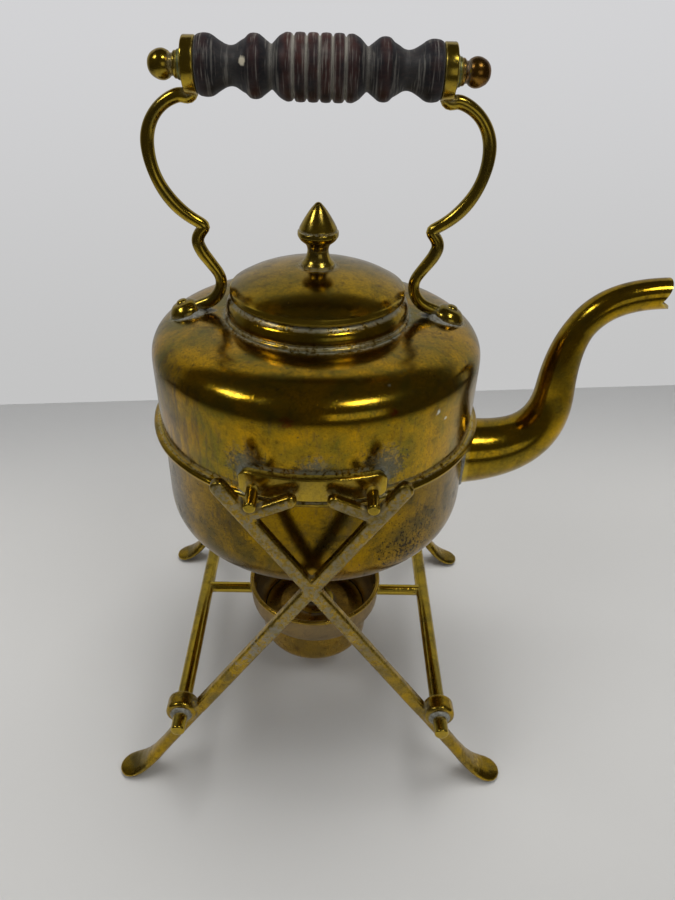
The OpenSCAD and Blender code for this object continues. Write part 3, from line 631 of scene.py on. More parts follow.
eye_outline = [(rod_hole, -eye_half, 0), (eye_r, -eye_half, 0.7), (eye_r, eye_half, 0.7),
               (rod_hole, eye_half, 0)]
pad_outline = [(0, -3.4, 0), (7.2, -3.4, 0), (7.5, 0.4, 0.8), (7.0, 2.2, 1.4), (4.8, 4.5, 1.8),
               (2.6, 5.0, 0.2), (0, 5.0, 0)]
solder_outline = [(5.4, -3.2, 0), (9.6, -2.7, 0.8), (8.4, -0.6, 1.2), (7.0, 0.5, 0.4), (5.4, 0.4, 0)]
rivet_outline = [(0, 4.2, 0), (2.7, 4.2, 0), (2.6, 5.3, 0.5), (1.7, 6.1, 0.8), (0, 6.3, 0)]
eye = turned(softened(eye_outline), 64, "x", (eye_x, 0, grip_z))
pad = tilted(turned(softened(pad_outline), 48))
solder = tilted(turned(softened(solder_outline), 48, wobble=lumpy))
rivet = tilted(turned(softened(rivet_outline), 32))
arm = joined(bar_along(arm_line, arm_section), eye, pad)
for side, arm_shape, blob in (("right", arm, solder), ("left", mirrored(arm, 0), mirrored(solder, 0))):
    add_piece("arm_" + side, *arm_shape, "kettle", ["handle_arm_" + side])
    add_piece("pad_solder_" + side, *blob, "kettle")
add_piece("pad_rivets", *both_sides(rivet, 0), "kettle", ["handle_rivets"])
print("pads at", round(pad_z, 1), "and", rivet_x, "mm either side of the axis")

# %% [markdown]
# ## Rod, washers and finials
#
# A rod runs through eyes and grip. A stepped washer and a ball-ended nut, the finial, close
# each end.

# %% Turn the finials and the washers
end_x = eye_x + eye_half
finial_x = end_x + 2.4
rod_r, rod_end = 3, finial_x + 2.6
washer_outline = [(rod_hole, 0, 0), (6.3, 0, 0.2), (6.3, 1.1, 0.4), (5.4, 1.2, 0.1), (5.3, 2.3, 0.3),
                  (rod_hole, 2.35, 0)]
finial_outline = [(0, 3.0, 0), (rod_hole, 3.0, 0), (rod_hole, 0, 0), (4.9, 0, 0.3), (4.9, 1.1, 0.4),
                  (4.0, 1.7, 0.4), (3.9, 2.6, 0.4), (4.7, 3.2, 0.5), (5.6, 5.0, 1.4), (5.5, 7.2, 1.6),
                  (4.2, 9.8, 1.8), (2.2, 11.2, 1.2), (0, 11.4, 0)]
washer = turned(softened(washer_outline), 48, "x", (end_x, 0, grip_z))
finial = turned(softened(finial_outline), 56, "x", (finial_x, 0, grip_z))
rod = turned([(0, -rod_end), (rod_r, -rod_end), (rod_r, rod_end), (0, rod_end)], 32, "x", (0, 0, grip_z))
add_piece("grip_rod", *rod, "kettle", ["handle_rod"])
add_piece("finial_washers", *both_sides(washer, 0), "kettle", ["rod_washers"])
add_piece("ball_finial_right", *finial, "kettle", ["finial_right"])
add_piece("ball_finial_left", *mirrored(finial, 0), "kettle", ["finial_left"])
print("finials end at x =", round(finial_x + finial_outline[-1][1], 1), "either side of the axis")

# %% [markdown]
# ## The wooden grip
#
# It was turned between centres: a barrel with cut ribs in the middle, then a deep neck, a bead,
# a hollow and an end bead on each side. Half the outline is written and mirrored. The grooves
# between the ribs are cut deep in the outline itself, because the dust that has settled in them
# is drawn later wherever the surface lies close to the rod.

# %% Turn the grip
grip_half, rib_width, bore = 46.6, 4.9, 3.08
half_outline = [(10.6, 0, 0.25)]
for rib in range(2):
    start = rib_width * rib
    half_outline += [(11.75, start + 0.7, 0.5), (12.0, start + rib_width / 2, 1.0),
                     (11.75, start + 4.2, 0.5), (10.5, start + rib_width, 0.25)]
half_outline += [(11.6, 10.6, 0.5), (11.9, 12.5, 1.0), (10.6, 15.2, 1.2), (7.6, 18.2, 0.6),
                 (9.5, 20.8, 1.0), (11.0, 22.8, 0.9), (11.3, 24.8, 1.2), (11.0, 26.6, 0.9),
                 (9.4, 28.2, 0.5), (8.7, 29.6, 0.8), (7.2, 32.0, 1.5), (6.9, 33.8, 1.5),
                 (7.4, 35.8, 1.5), (9.0, 38.6, 0.8), (10.0, 40.0, 0.5), (10.7, 41.4, 0.8),
                 (10.95, 43.4, 1.0), (10.6, 45.6, 0.6), (10.0, grip_half, 0.3)]
other_half = [(r, -x, rounding) for r, x, rounding in half_outline[:0:-1]]
bore_ends = [(bore, -grip_half, 0)], [(bore, grip_half, 0)]
grip_outline = softened(bore_ends[0] + other_half + half_outline + bore_ends[1], steps=5)
add_piece("turned_grip", *turned(grip_outline, 96, "x", (0, 0, grip_z)), "grip", ["wooden_grip"], sharp=60)
print("grip", 2 * grip_half, "mm long with", len(grip_outline), "points in its outline")

# %% [markdown]
# ## Straps and pins
#
# A curved strap is soldered to the wall at front and back, just over the seam. Two pins stand
# out of each strap and rest in the notches of the frame. The strap is one small section
# carried a short way round the axis; its height shrinks towards each end, so that the ends
# come out round. The kettle tilts over the two pins on the spout's side, so these are a piece
# of their own.

# %% Bend the straps and set the pins
strap_in, strap_r, strap_low, strap_high, strap_reach = 74.9, 79.3, 2.0, 13.0, math.radians(23)
strap_half, strap_corner, strap_steps = (strap_high - strap_low) / 2, 4.4, 64
strap_middle = seam_z + (strap_low + strap_high) / 2
strap_rings = []
for i in range(strap_steps + 1):
    t = math.sin(math.pi / 2 * (2 * i / strap_steps - 1)) * strap_reach
    to_end = (strap_reach - abs(t)) * strap_r
    rounded = math.sqrt(max(strap_corner ** 2 - max(strap_corner - to_end, 0) ** 2, 0))
    height = strap_half - strap_corner + rounded
    face_r = strap_r - 0.9 * max(0, 1 - to_end / 1.2) ** 2
    low, high = strap_middle - height, strap_middle + height
    section = softened([(strap_in, low, 0), (face_r, low, 0.8), (face_r, high, 0.8), (strap_in, high, 0)])
    strap_rings.append([dented((r * math.sin(t), -r * math.cos(t), z), 0.12, 9) for r, z in section])
strap_points = [point for ring in strap_rings for point in ring]
strap = (strap_points, capped(len(strap_rings), len(strap_rings[0])))
add_piece("front_strap", *strap, "kettle", ["front_bracket"])
add_piece("back_strap", *mirrored(strap, 1), "kettle", ["back_bracket"])

pin_x, pin_z, pin_r, pin_in, pin_out = 24.4565, seam_z + 5.4, 2.6, -73.1, -88.5
pin_outline = [(0, pin_out, 0), (pin_r, pin_out, 0.9), (pin_r, pin_in, 0), (0, pin_in, 0)]
pin = turned(softened(pin_outline), 32, "y", (pin_x, 0, pin_z))
add_piece("resting_pins", *both_sides(mirrored(pin, 0), 1), "kettle", ["rest_pins"])
add_piece("pouring_pins", *both_sides(pin, 1), "pour_pins", ["pour_pins"])
print("pins at x = +-", pin_x, "and", round(pin_z, 1), "high")

# %% [markdown]
# ## The cross frames
#
# Each frame is one casting: two flat bars that cross, a notch with a short prong at each upper
# end, a round boss for the tie rod, and feet that flatten to little spoons. Where castings
# flow together, modelling the joins by hand is slow. Instead the simple closed shapes are laid
# over each other, Blender's Remesh modifier melts them into one skin of small squares, and a
# Smooth modifier softens the edges, much as a worn sand casting looks.

# %% Draw the flat bars
frame_y, bar_front, bar_back, bar_half, cross_z = 83.5, -86, -81, 3.3, 134.5
bar_slope = math.radians(56)
ankle_x, tie_z = 55.647, 52


def drawn_in(outline, by):
    """The same outline, which goes round anticlockwise and bulges everywhere, moved inwards."""
    out = []
    for i, corner in enumerate(outline):
        here = Vector(corner)
        before = (here - Vector(outline[i - 1])).normalized()
        after = (Vector(outline[(i + 1) % len(outline)]) - here).normalized()
        inwards = Vector((-before.y - after.y, before.x + after.x)).normalized()
        square = max(inwards.dot(Vector((-before.y, before.x))), 0.5)
        out.append(tuple(here + inwards * by / square))
    return out


def plate(outline, chamfer=1.1):
    """Flat closed bar cut to an outline of (x, z), with its long edges filed off."""
    inset = drawn_in(outline, chamfer)
    layers = [(inset, bar_front), (outline, bar_front + chamfer * 0.8),
              (outline, bar_back - chamfer * 0.8), (inset, bar_back)]
    points = [(x, y, z) for layer, y in layers for x, z in layer]
    return points, capped(len(layers), len(outline))


def round_ended(start, end, half, slope, tip_half):
    """Outline of a bar of the given slope: flat at its start, round at its end."""
    along = Vector((math.cos(slope), math.sin(slope)))
    side = Vector((-along.y, along.x))
    turns = [math.pi * k / 12 for k in range(1, 12)]
    tip = [end + along * tip_half * math.sin(turn) - side * half * math.cos(turn) for turn in turns]
    corners = [start - side * half, end - side * half] + tip + [end + side * half, start + side * half]
    return [tuple(corner) for corner in corners]


bar_way = Vector((math.cos(bar_slope), -math.sin(bar_slope)))
bar_top = Vector((0, cross_z)) - bar_way * 65.6
bar_foot = Vector((ankle_x, tie_z))
bar = plate(round_ended(bar_foot, bar_top, bar_half, math.pi - bar_slope, bar_half))
prong_slope, prong_half = math.radians(24), 2.84
prong_way = Vector((math.cos(prong_slope), math.sin(prong_slope)))
prong_line = Vector((-25.5, 178.207)) + Vector((prong_way.y, -prong_way.x)) * prong_half
prong = plate(round_ended(prong_line - prong_way * 2, prong_line + prong_way * 17, prong_half, prong_slope,
                          prong_half))
print("a bar", round((bar_top - bar_foot).length, 1), "mm long under", math.degrees(bar_slope), "degrees")

# %% [markdown]
# A foot is one section carried down a curve. Each station of it says where the section stands,
# how wide it is from front to back and how deep: a stout ankle first, then a thin, wide spoon
# that closes to a round toe.

# %% Draw the boss and the foot
boss_x = ankle_x + 8
boss_outline = [(0, -88, 0), (7.5, -88, 1.9), (7.5, -79, 1.9), (0, -79, 0)]
boss = turned(softened(boss_outline), 48, "y", (boss_x, 0, tie_z))
foot_stations = [(54.2, 54.2, 2.6, 3.3), (58.6, 47.6, 2.8, 3.3), (66.0, 36.6, 3.1, 3.2),
                 (74.6, 23.6, 3.9, 3.0), (80.4, 15.0, 5.0, 2.9), (84.8, 9.6, 6.2, 2.7),
                 (88.2, 6.4, 7.0, 2.5), (91.6, 4.2, 7.4, 2.3), (94.6, 3.0, 7.3, 2.1),
                 (97.4, 2.3, 6.4, 1.9), (99.5, 1.9, 4.5, 1.6), (100.7, 1.7, 2.1, 1.1)]
ankle_stations = 3


def foot_section(i, angle):
    """Section at a station: nearly square at the ankle and rounder in the spoon."""
    wide, deep = foot_stations[i][2], foot_stations[i][3]
    c, s = math.cos(angle), math.sin(angle)
    boxy = 0.72 if i < ankle_stations else 0.9
    return deep * math.copysign(abs(c) ** boxy, c), wide * math.copysign(abs(s) ** boxy, s)


foot = bar_along([(x, z) for x, z, _, _ in foot_stations], foot_section, y=-frame_y)
casting = both_sides(joined(bar, prong, boss, foot), 0)
print("the toe is", 2 * max(wide for _, _, wide, _ in foot_stations), "mm wide")

# %% [markdown]
# Now the shapes are melted. The Remesh modifier works on a grid of small cubes, and these set
# the finest edge that is left. After smoothing, every point moves in or out by a noise of two
# sizes, which is the grain of the sand mould.

# %% Melt the shapes into one casting and mirror it
def cast(name, shape, node, grain=0.42, soften=5):
    """Melts overlapping closed shapes into one cast piece with softened, sandy faces."""
    piece = add_piece(name, *shape, "stand", [node], sharp=180)
    melt = piece.modifiers.new("melt", "REMESH")
    melt.mode, melt.voxel_size, melt.use_smooth_shade = "VOXEL", grain * MM, True
    soft = piece.modifiers.new("soften", "SMOOTH")
    soft.factor, soft.iterations = 0.5, soften
    bpy.context.view_layer.update()
    apply_modifiers(piece)
    places = [(Vector(v.co), Vector(v.normal)) for v in piece.data.vertices]
    sanded = []
    for place, out in places:
        rough = noise.noise(place / (5 * MM)) + 0.6 * noise.noise(place / (1.7 * MM))
        sanded.extend(place + out * rough * 0.07 * MM)
    piece.data.vertices.foreach_set("co", sanded)
    piece.data.update()
    return piece


front_casting = cast("front_cross_frame", casting, "front_frame")
cast("back_cross_frame", mirrored(casting, 1), "back_frame")
print("front frame:", len(front_casting.data.polygons), "faces")

# %% [markdown]
# ## Tie rods, struts and solder rings
#
# Two round rods tie the frames. Their ends are turned down to pegs that pass through the
# bosses, with a ring of solder round each. Short struts from the middle of each rod carry the
# cup. A rod is an outline turned about its own axis, so its worn ends can be rounded.

# %% Turn the tie rods and their solder rings
tie_half, shank_half, tie_r, peg_r = 97.5, 79.2, 3.7, 3.4
tie_outline = softened([(0, -tie_half, 0), (peg_r, -tie_half, 1.1), (peg_r, -79.4, 0.2),
                        (tie_r, -shank_half, 0.3), (tie_r, shank_half, 0.3), (peg_r, 79.4, 0.2),
                        (peg_r, tie_half, 1.1), (0, tie_half, 0)])
tie_middle = straight((tie_r, -79), (tie_r, 79), 40)


def hammered(place):
    """A point of a rod moved sideways by smooth noise."""
    push = 0.12 * noise.noise(Vector(place) / 6)
    return (place[0] + push, place[1], place[2] + push * 0.7)


def runny(place):
    """A point of a peg's solder moved sideways by smooth noise, each way by its own."""
    return (place[0] + 0.35 * noise.noise(Vector(place) * 0.45), place[1],
            place[2] + 0.35 * noise.noise(Vector(place) * 0.4 + Vector((0, 7, 0))))


tie = turned(tie_outline[:6] + tie_middle + tie_outline[6:], 40, "y", (boss_x, 0, tie_z), wobble=hammered)
add_piece("tie_bar_right", *tie, "stand", ["tie_rod_right"])
add_piece("tie_bar_left", *mirrored(tie, 0), "stand", ["tie_rod_left"])
ring_outline = [(3.2, -89.4, 0), (4.2, -89.3, 0.4), (5.1, -88.5, 0.5), (5.3, -87.6, 0.1), (3.2, -87.6, 0)]
peg_ring = turned(softened(ring_outline), 40, "y", (boss_x, 0, tie_z), wobble=runny)
add_piece("peg_solder", *both_sides(both_sides(peg_ring, 0), 1), "stand", ["peg_rings"])
strut_outline = [(0, 34.4, 0), (3.1, 34.4, 0), (3.1, 62.2, 0), (0, 62.2, 0)]
strut = turned(softened(strut_outline), 32, "x", (0, 0, tie_z), wobble=hammered)
add_piece("cup_carriers", *both_sides(strut, 0), "stand", ["cup_struts"])
print("tie rods", round(2 * tie_half), "mm long")

# %% [markdown]
# ## The burner cup
#
# A cup of spun sheet: a straight drum below, a step, a wall that widens upwards and a rolled
# rim. The wall is drawn as one outline, out and back in, so the cup is a real shell.

# %% Spin the cup
cup_floor, drum_r, drum_in, rim_r = 21.0, 30.5, 29.3, 38.0
drum = [(0, cup_floor, 0), (drum_r - 5, cup_floor, 1), (drum_r, cup_floor + 4.4, 4.0), (drum_r, 42.0, 0.6)]
wall_out = [(33.6, 44.7, 1.4), (36.7, 49.6, 2.2), (37.1, 55.4, 2.0), (36.3, 60.6, 0.4)]
rim = [(36.0, 60.7, 0), (37.4, 60.7, 0.7), (rim_r, 62.0, 0.9), (37.3, 63.4, 0.9), (36.1, 63.4, 0.9),
       (35.0, 62.2, 0.8)]
wall_in = [(35.0, 60.2, 0.4), (35.8, 55.4, 2.0), (35.5, 50.0, 1.8), (32.2, 45.4, 1.2)]
drum_inside = [(drum_in, 42.6, 0.6), (drum_in, cup_floor + 5.2, 3.4), (drum_r - 6, cup_floor + sheet, 1),
               (0, cup_floor + sheet, 0)]
cup_outline = softened(drum + wall_out + rim + wall_in + drum_inside)
add_piece("spirit_cup", *turned(cup_outline, 192, wobble=lambda p: dented(p, 0.15, 18)), "stand",
          ["burner_cup"])
print("cup", 2 * rim_r, "mm across its rim")

# %% [markdown]
# ## Colours and nodes
#
# Colours are written as sRGB hex values, the way a colour card gives them, and one function
# turns them to the linear numbers that Blender's shaders use. Another adds one node with its
# settings and its links, so that each material below reads as a list of what it is made of.
# A third turns the size of a real pattern in millimetres into a texture's scale.

# %% Helpers for colours, nodes and pattern sizes
def linear(code):
    """Linear RGBA of an sRGB hex colour."""
    out = []
    for i in (1, 3, 5):
        v = int(code[i:i + 2], 16) / 255
        out.append(v / 12.92 if v <= 0.04045 else ((v + 0.055) / 1.055) ** 2.4)
    return (*out, 1.0)


def add_node(tree, kind, values, links):
    """Adds a node; values are its settings or unlinked inputs, links its inputs' sources.

    A source is a socket, or a node whose first output is meant.
    """
    node = tree.nodes.new(kind)
    for name, value in values.items():
        if isinstance(name, str) and hasattr(node, name):
            setattr(node, name, value)
        else:
            node.inputs[name].default_value = value
    for name, source in links.items():
        socket = source.outputs[0] if isinstance(source, bpy.types.Node) else source
        tree.links.new(socket, node.inputs[name])
    return node


def per_mm(size):
    """Texture scale at which a noise feature is about this many millimetres wide."""
    return 1 / (size * MM)


def new_material(name):
    """A material without nodes, and its empty tree."""
    stuff = bpy.data.materials.new(name)
    stuff.use_nodes = True
    stuff.node_tree.nodes.clear()
    return stuff, stuff.node_tree


print("pale brass is", [round(v, 3) for v in linear("#c8ae36")])

# %% [markdown]
# ## Masks and coats
#
# No finish on an old kettle is even. Each is mixed by masks, which are values from 0 to 1 that
# say where a tint, a film or a crust lies. The same few masks keep coming back: the spots of a
# noise, the neighbourhood of a place, and islands that gather there. One helper makes each of
# them, and another lays tints over each other as coats.

# %% Helpers for masks and coats
def speckled(tree, place, size, detail, rough, low, high, most=1.0, least=0.0, warp=0.0):
    """Noise with spots of a size in millimetres, and its mask: least below low, most above high."""
    spots = add_node(tree, "ShaderNodeTexNoise",
                     {"Scale": per_mm(size), "Detail": detail, "Roughness": rough, "Distortion": warp},
                     {"Vector": place})
    mask = add_node(tree, "ShaderNodeMapRange",
                    {"From Min": low, "From Max": high, "To Min": least, "To Max": most}, {"Value": spots})
    return spots, mask


def near(tree, place, spot, reach, soft):
    """Mask that is 1 at a spot and fades to 0 at its reach, both in millimetres."""
    away = add_node(tree, "ShaderNodeVectorMath", {"operation": "DISTANCE", 1: to_metres(spot)}, {0: place})
    return add_node(tree, "ShaderNodeMapRange",
                    {"From Min": reach * MM, "From Max": reach * (1 - soft) * MM},
                    {"Value": away.outputs["Value"]})


def weighed(tree, start, *parts):
    """Sum of a start, which is a number or a mask, and of masks times their weights."""
    total = start
    for mask, weight in parts:
        values, links = {"operation": "MULTIPLY_ADD", 1: weight}, {0: mask}
        if isinstance(total, float):
            values[2] = total
        else:
            links[2] = total
        total = add_node(tree, "ShaderNodeMath", values, links)
    return total


def gathered(tree, mask, spots, weight, low, high, most=1.0):
    """Ragged islands: the spots of a noise, but only where a mask lifts them over a level."""
    lifted = weighed(tree, spots, (mask, weight))
    return add_node(tree, "ShaderNodeMapRange", {"From Min": low, "From Max": high, "To Max": most},
                    {"Value": lifted})


def painted(tree, ground, *coats):
    """Colour of a ground, which is a hex code or a socket, under coats of (hex code, mask)."""
    colour = ground
    for tint, mask in coats:
        values, links = {"data_type": "RGBA", 7: linear(tint)}, {0: mask}
        if isinstance(colour, str):
            values[6] = linear(colour)
        else:
            links[6] = colour
        colour = add_node(tree, "ShaderNodeMix", values, links).outputs[2]
    return colour


island_lift = (0.45, 0.77, 0.90)
print("islands start where the noise and", island_lift[0], "of the mask pass", island_lift[1])

# %% [markdown]
# ## Old brass
#
# Brass is copper with about a third of zinc. Polished it is a bright yellow mirror. Left alone
# it dulls in three ways, and this kettle shows all of them. Air turns it olive and brown in
# soft patches a few centimetres wide. Handling and old polish leave specks, pits and sand-like
# grain of about a millimetre, which are drawn as coarse as they need to be to show. Dried
# polish stays as a grey-blue crust in corners where no cloth reaches.
#
# Each way becomes masks. Noises make the patches, the specks and the grain. An ambient occlusion node finds
# the corners, and a slower noise breaks the crust up; the deepest corners are also painted dark, which is
# painted shade. The Pointiness of the surface finds the edges that hands have rubbed bright, and their
# lighter colour is also a painted highlight. The masks then drive colour, metallic, roughness and bump
# together, because a crust is at once pale, dull and raised. Spun sheet, cast frames and drawn rod differ
# only in colours and sizes, so one function makes all of them.

# %% Mix a brass from its patches, specks and crust
grit_size, sand_size, crust_size, corner_reach = 1.3, 0.8, 2.6, 2.8
# The second of these colours is painted shade for the deepest corners, the third a painted highlight on sharp
# edges, which are also rubbed bright.
black_pit, painted_corner_shade, rubbed_edge_and_painted_highlight = "#3a2c12", "#2b2a20", "#cdb040"


def old_brass(name, clean, tarnish, stain, crust, patch, shine, crusting=0.8, sanded=0.38,
              film=None, marks=None):
    """Tarnished brass with patches of a size in millimetres, edges rubbed bright and painted lighter as a
    highlight, and painted shade in its deepest corners.

    film(tree, place, spots) gives the mask of a dull film, and marks(tree, place, colour) lays
    spots of other colours on the brass.
    """
    stuff, tree = new_material(name)
    place = add_node(tree, "ShaderNodeTexCoord", {}, {}).outputs["Object"]
    patches, dull = speckled(tree, place, patch, 9, 0.70, 0.40, 0.62, warp=0.25)
    blots, brown = speckled(tree, place, patch * 0.3, 9, 0.72, 0.52, 0.68, 0.75)
    pits = speckled(tree, place, grit_size, 3, 0.7, 0.60, 0.70, 0.8)[1]
    sand, sanding = speckled(tree, place, sand_size, 4, 0.8, 0.44, 0.60, sanded)
    pitted = add_node(tree, "ShaderNodeMath", {"operation": "MULTIPLY"}, {0: pits, 1: patches})
    colour = painted(tree, clean, (tarnish, dull), (stain, brown), (black_pit, pitted), (stain, sanding))
    if marks:
        colour = marks(tree, place, colour)

    corner = add_node(tree, "ShaderNodeAmbientOcclusion", {"samples": 6, "Distance": corner_reach * MM}, {})
    inside = add_node(tree, "ShaderNodeMapRange", {"From Min": 0.93, "From Max": 0.72},
                      {"Value": corner.outputs["AO"]})
    # Painted shade: the deepest corners are darkened in colour.
    deep = add_node(tree, "ShaderNodeMapRange", {"From Min": 0.60, "From Max": 0.42, "To Max": 0.85},
                    {"Value": corner.outputs["AO"]})
    broken, patchy = speckled(tree, place, crust_size, 7, 0.75, 0.40, 0.52, crusting)
    crusty = add_node(tree, "ShaderNodeMath", {"operation": "MULTIPLY"}, {0: inside, 1: patchy})
    if film:
        crusty = add_node(tree, "ShaderNodeMath", {"operation": "MAXIMUM"},
                          {0: crusty, 1: film(tree, place, broken)})
    surface = add_node(tree, "ShaderNodeNewGeometry", {}, {})
    # Sharp edges are painted lighter: rubbed bright by hands, and also a painted highlight.
    worn = add_node(tree, "ShaderNodeMapRange", {"From Min": 0.512, "From Max": 0.555, "To Max": 0.85},
                    {"Value": surface.outputs["Pointiness"]})
    colour = painted(tree, colour, (crust, crusty), (painted_corner_shade, deep), (rubbed_edge_and_painted_highlight, worn))

    metal = weighed(tree, 1.0, (crusty, -0.85))
    gloss = weighed(tree, shine, (dull, 0.10), (brown, 0.14), (crusty, 0.40))
    height = weighed(tree, blots, (pits, -0.7), (crusty, 1.2), (sand, 0.55))
    bump = add_node(tree, "ShaderNodeBump", {"Strength": 0.5, "Distance": 0.06 * MM}, {"Height": height})
    shader = add_node(tree, "ShaderNodeBsdfPrincipled", {},
                      {"Base Color": colour, "Metallic": metal, "Roughness": gloss, "Normal": bump})
    add_node(tree, "ShaderNodeOutputMaterial", {}, {"Surface": shader})
    return stuff


print("grit", grit_size, "mm, sand", sand_size, "mm, crust in pieces of", crust_size, "mm")

# %% [markdown]
# Spun sheet brass makes the body, bowl, spout, collar and lid. Round the straps the heat of soldering and a
# century of polish have left a thin grey-blue film and scorched spots. At the lower right the bowl is
# peppered with black specks, and the wall's left side was rubbed in upright streaks. The wall also carries
# drops of white paint, spots of bare copper, and patches where the tarnish is darker or more golden. Each is
# placed one by one, about the axis in millimetres.

# %% Place the marks on the kettle's wall
film_spots = [((-27, -72, seam_z + 14), 17), ((29, -71, seam_z + 14), 19),
              ((1, -76, seam_z + 15), 14), ((0, 76, seam_z + 14), 34)]
scorch_spots = [((-27, -72, seam_z + 12), 15), ((29, -71, seam_z + 12), 17),
                ((1, -76, seam_z + 10), 15), ((0, 76, seam_z + 12), 30)]
bare_copper, dark_tarnish, white_paint = "#8a2f12", "#3c331c", "#d8d6c4"
wall_spots = [((-10, -74, seam_z + 37), 6, bare_copper, 0.7),
              ((31.6, -68, seam_z + 38.3), 4.5, "#9a2c16", 0.8),
              ((-62, -40, seam_z + 33), 7, "#6e3c18", 0.6),
              ((-66, -38, seam_z - 25), 36, dark_tarnish, 0.6),
              ((-36, -66, seam_z - 20), 28, dark_tarnish, 0.5),
              ((-50, -57, seam_z + 20), 20, "#b88a14", 0.5),
              ((-66, -38, seam_z + 16), 14, "#b8860e", 0.6),
              ((10, -68, seam_z - 42), 26, "#c08c0c", 0.4),
              ((51, -56.4, seam_z + 31.9), 2.6, white_paint, 1.0),
              ((54.9, -52.4, seam_z + 27), 1.8, white_paint, 1.0),
              ((29.6, -60.9, seam_z + 46.6), 1.7, white_paint, 1.0)]


def strap_film(tree, place, spots):
    """Thin film on the wall round the straps."""
    zones = [near(tree, place, spot, reach, 0.8) for spot, reach in film_spots]
    zone = zones[0]
    for other in zones[1:]:
        zone = add_node(tree, "ShaderNodeMath", {"operation": "MAXIMUM"}, {0: zone, 1: other})
    return gathered(tree, zone, spots, *island_lift, most=0.2)


def wall_marks(tree, place, colour):
    """Black specks, coloured spots, scorched spots and rubbed streaks."""
    fine = add_node(tree, "ShaderNodeTexNoise", {"Scale": per_mm(1.6), "Detail": 4, "Roughness": 0.75},
                    {"Vector": place})
    peppered = near(tree, place, (44, -60, seam_z - 38), 34, 0.85)
    coats = [("#17130a", gathered(tree, peppered, fine, 0.16, 0.655, 0.70, most=0.95))]
    for spot, reach, tint, most in wall_spots:
        zone = near(tree, place, spot, reach, 0.9)
        coats.append((tint, gathered(tree, zone, fine, *island_lift, most=most)))
    for spot, reach in scorch_spots:
        zone = near(tree, place, spot, reach, 0.9)
        coats.append(("#4a4a3c", gathered(tree, zone, fine, 0.36, 0.63, 0.76, most=0.8)))
    upright = add_node(tree, "ShaderNodeVectorMath", {"operation": "MULTIPLY", 1: (1, 1, 0.18)}, {0: place})
    streaks = add_node(tree, "ShaderNodeTexNoise", {"Scale": per_mm(3), "Detail": 6, "Roughness": 0.7},
                       {"Vector": upright})
    left_wall = near(tree, place, (-62, -44, seam_z + 14), 36, 0.9)
    coats.append(("#5c4d38", gathered(tree, left_wall, streaks, 0.22, 0.55, 0.74, most=0.7)))
    return painted(tree, colour, *coats)


print(len(wall_spots), "coloured spots and", len(scorch_spots), "scorched ones")

# %% [markdown]
# Three sheets are mixed. The upper body is the brightest, and the bowl below it is mixed darker; both carry
# the marks. The collar, lid, seam and spout are of thinner sheet with the palest crust, and carry none.

# %% Mix the sheet brass
sheet_brass = old_brass("spun_sheet_brass", "#d0a018", "#837828", "#6c561c", "#979d92", patch=26,
                        shine=0.10, crusting=0.9, film=strap_film, marks=wall_marks)
bowl_brass = old_brass("spun_bowl_brass", "#a5800e", "#62531f", "#443617", "#6f7671", patch=24,
                       shine=0.17, marks=wall_marks)
plain_sheet = old_brass("thin_spun_brass", "#c49c1a", "#857426", "#67501c", "#b4b8aa", patch=22,
                        shine=0.11, crusting=0.75)
print("nodes in the wall's brass:", len(sheet_brass.node_tree.nodes))

# %% [markdown]
# The frames are cast brass, filed and polished by hand. Their upper parts have lost their
# polish: a dull film lies on the flat faces that point forwards or back, with pinkish and grey
# blotches where the bars cross. The film follows height and the way the surface faces, so the
# mask multiplies the two and a noise breaks it up.

# %% Mix the cast brass of the frames
film_low, film_high = 75, 120
blotch_spots = [((0, -84, 88), 36, "#84685e", 0.0), ((-22, -84, 100), 40, "#8c8a80", 0.03),
                ((0, 84, 84), 46, "#84685e", 0.0)]


def frame_film(tree, place, _):
    """Dull film on flat faces, which thickens upwards between two heights."""
    surface = add_node(tree, "ShaderNodeNewGeometry", {}, {})
    facing = add_node(tree, "ShaderNodeSeparateXYZ", {}, {"Vector": surface.outputs["Normal"]})
    outward = add_node(tree, "ShaderNodeMath", {"operation": "ABSOLUTE"}, {0: facing.outputs["Y"]})
    flat = add_node(tree, "ShaderNodeMapRange", {"From Min": 0.80, "From Max": 0.98}, {"Value": outward})
    where = add_node(tree, "ShaderNodeSeparateXYZ", {}, {"Vector": place})
    high = add_node(tree, "ShaderNodeMapRange",
                    {"From Min": film_low * MM, "From Max": film_high * MM, "To Max": 0.7},
                    {"Value": where.outputs["Z"]})
    mottle = speckled(tree, place, 2.6, 6, 0.7, 0.45, 0.56, most=0.9, least=0.08)[1]
    upper = add_node(tree, "ShaderNodeMath", {"operation": "MULTIPLY"}, {0: flat, 1: high})
    return add_node(tree, "ShaderNodeMath", {"operation": "MULTIPLY"}, {0: upper, 1: mottle})


def frame_marks(tree, place, colour):
    """Pinkish and grey blotches where the bars cross."""
    blotches = add_node(tree, "ShaderNodeTexNoise", {"Scale": per_mm(3.4), "Detail": 6, "Roughness": 0.72},
                        {"Vector": place})
    coats = []
    for spot, reach, tint, shift in blotch_spots:
        zone = near(tree, place, spot, reach, 0.8)
        coats.append((tint, gathered(tree, zone, blotches, 0.2, 0.65 + shift, 0.72 + shift, most=0.75)))
    return painted(tree, colour, *coats)


cast_brass = old_brass("cast_brass_frames", "#b8941e", "#86743a", "#5e4c1e", "#98937c", patch=14,
                       shine=0.20, crusting=0.7, film=frame_film, marks=frame_marks)
print("the frames' film starts", film_low, "mm up and is full at", film_high)
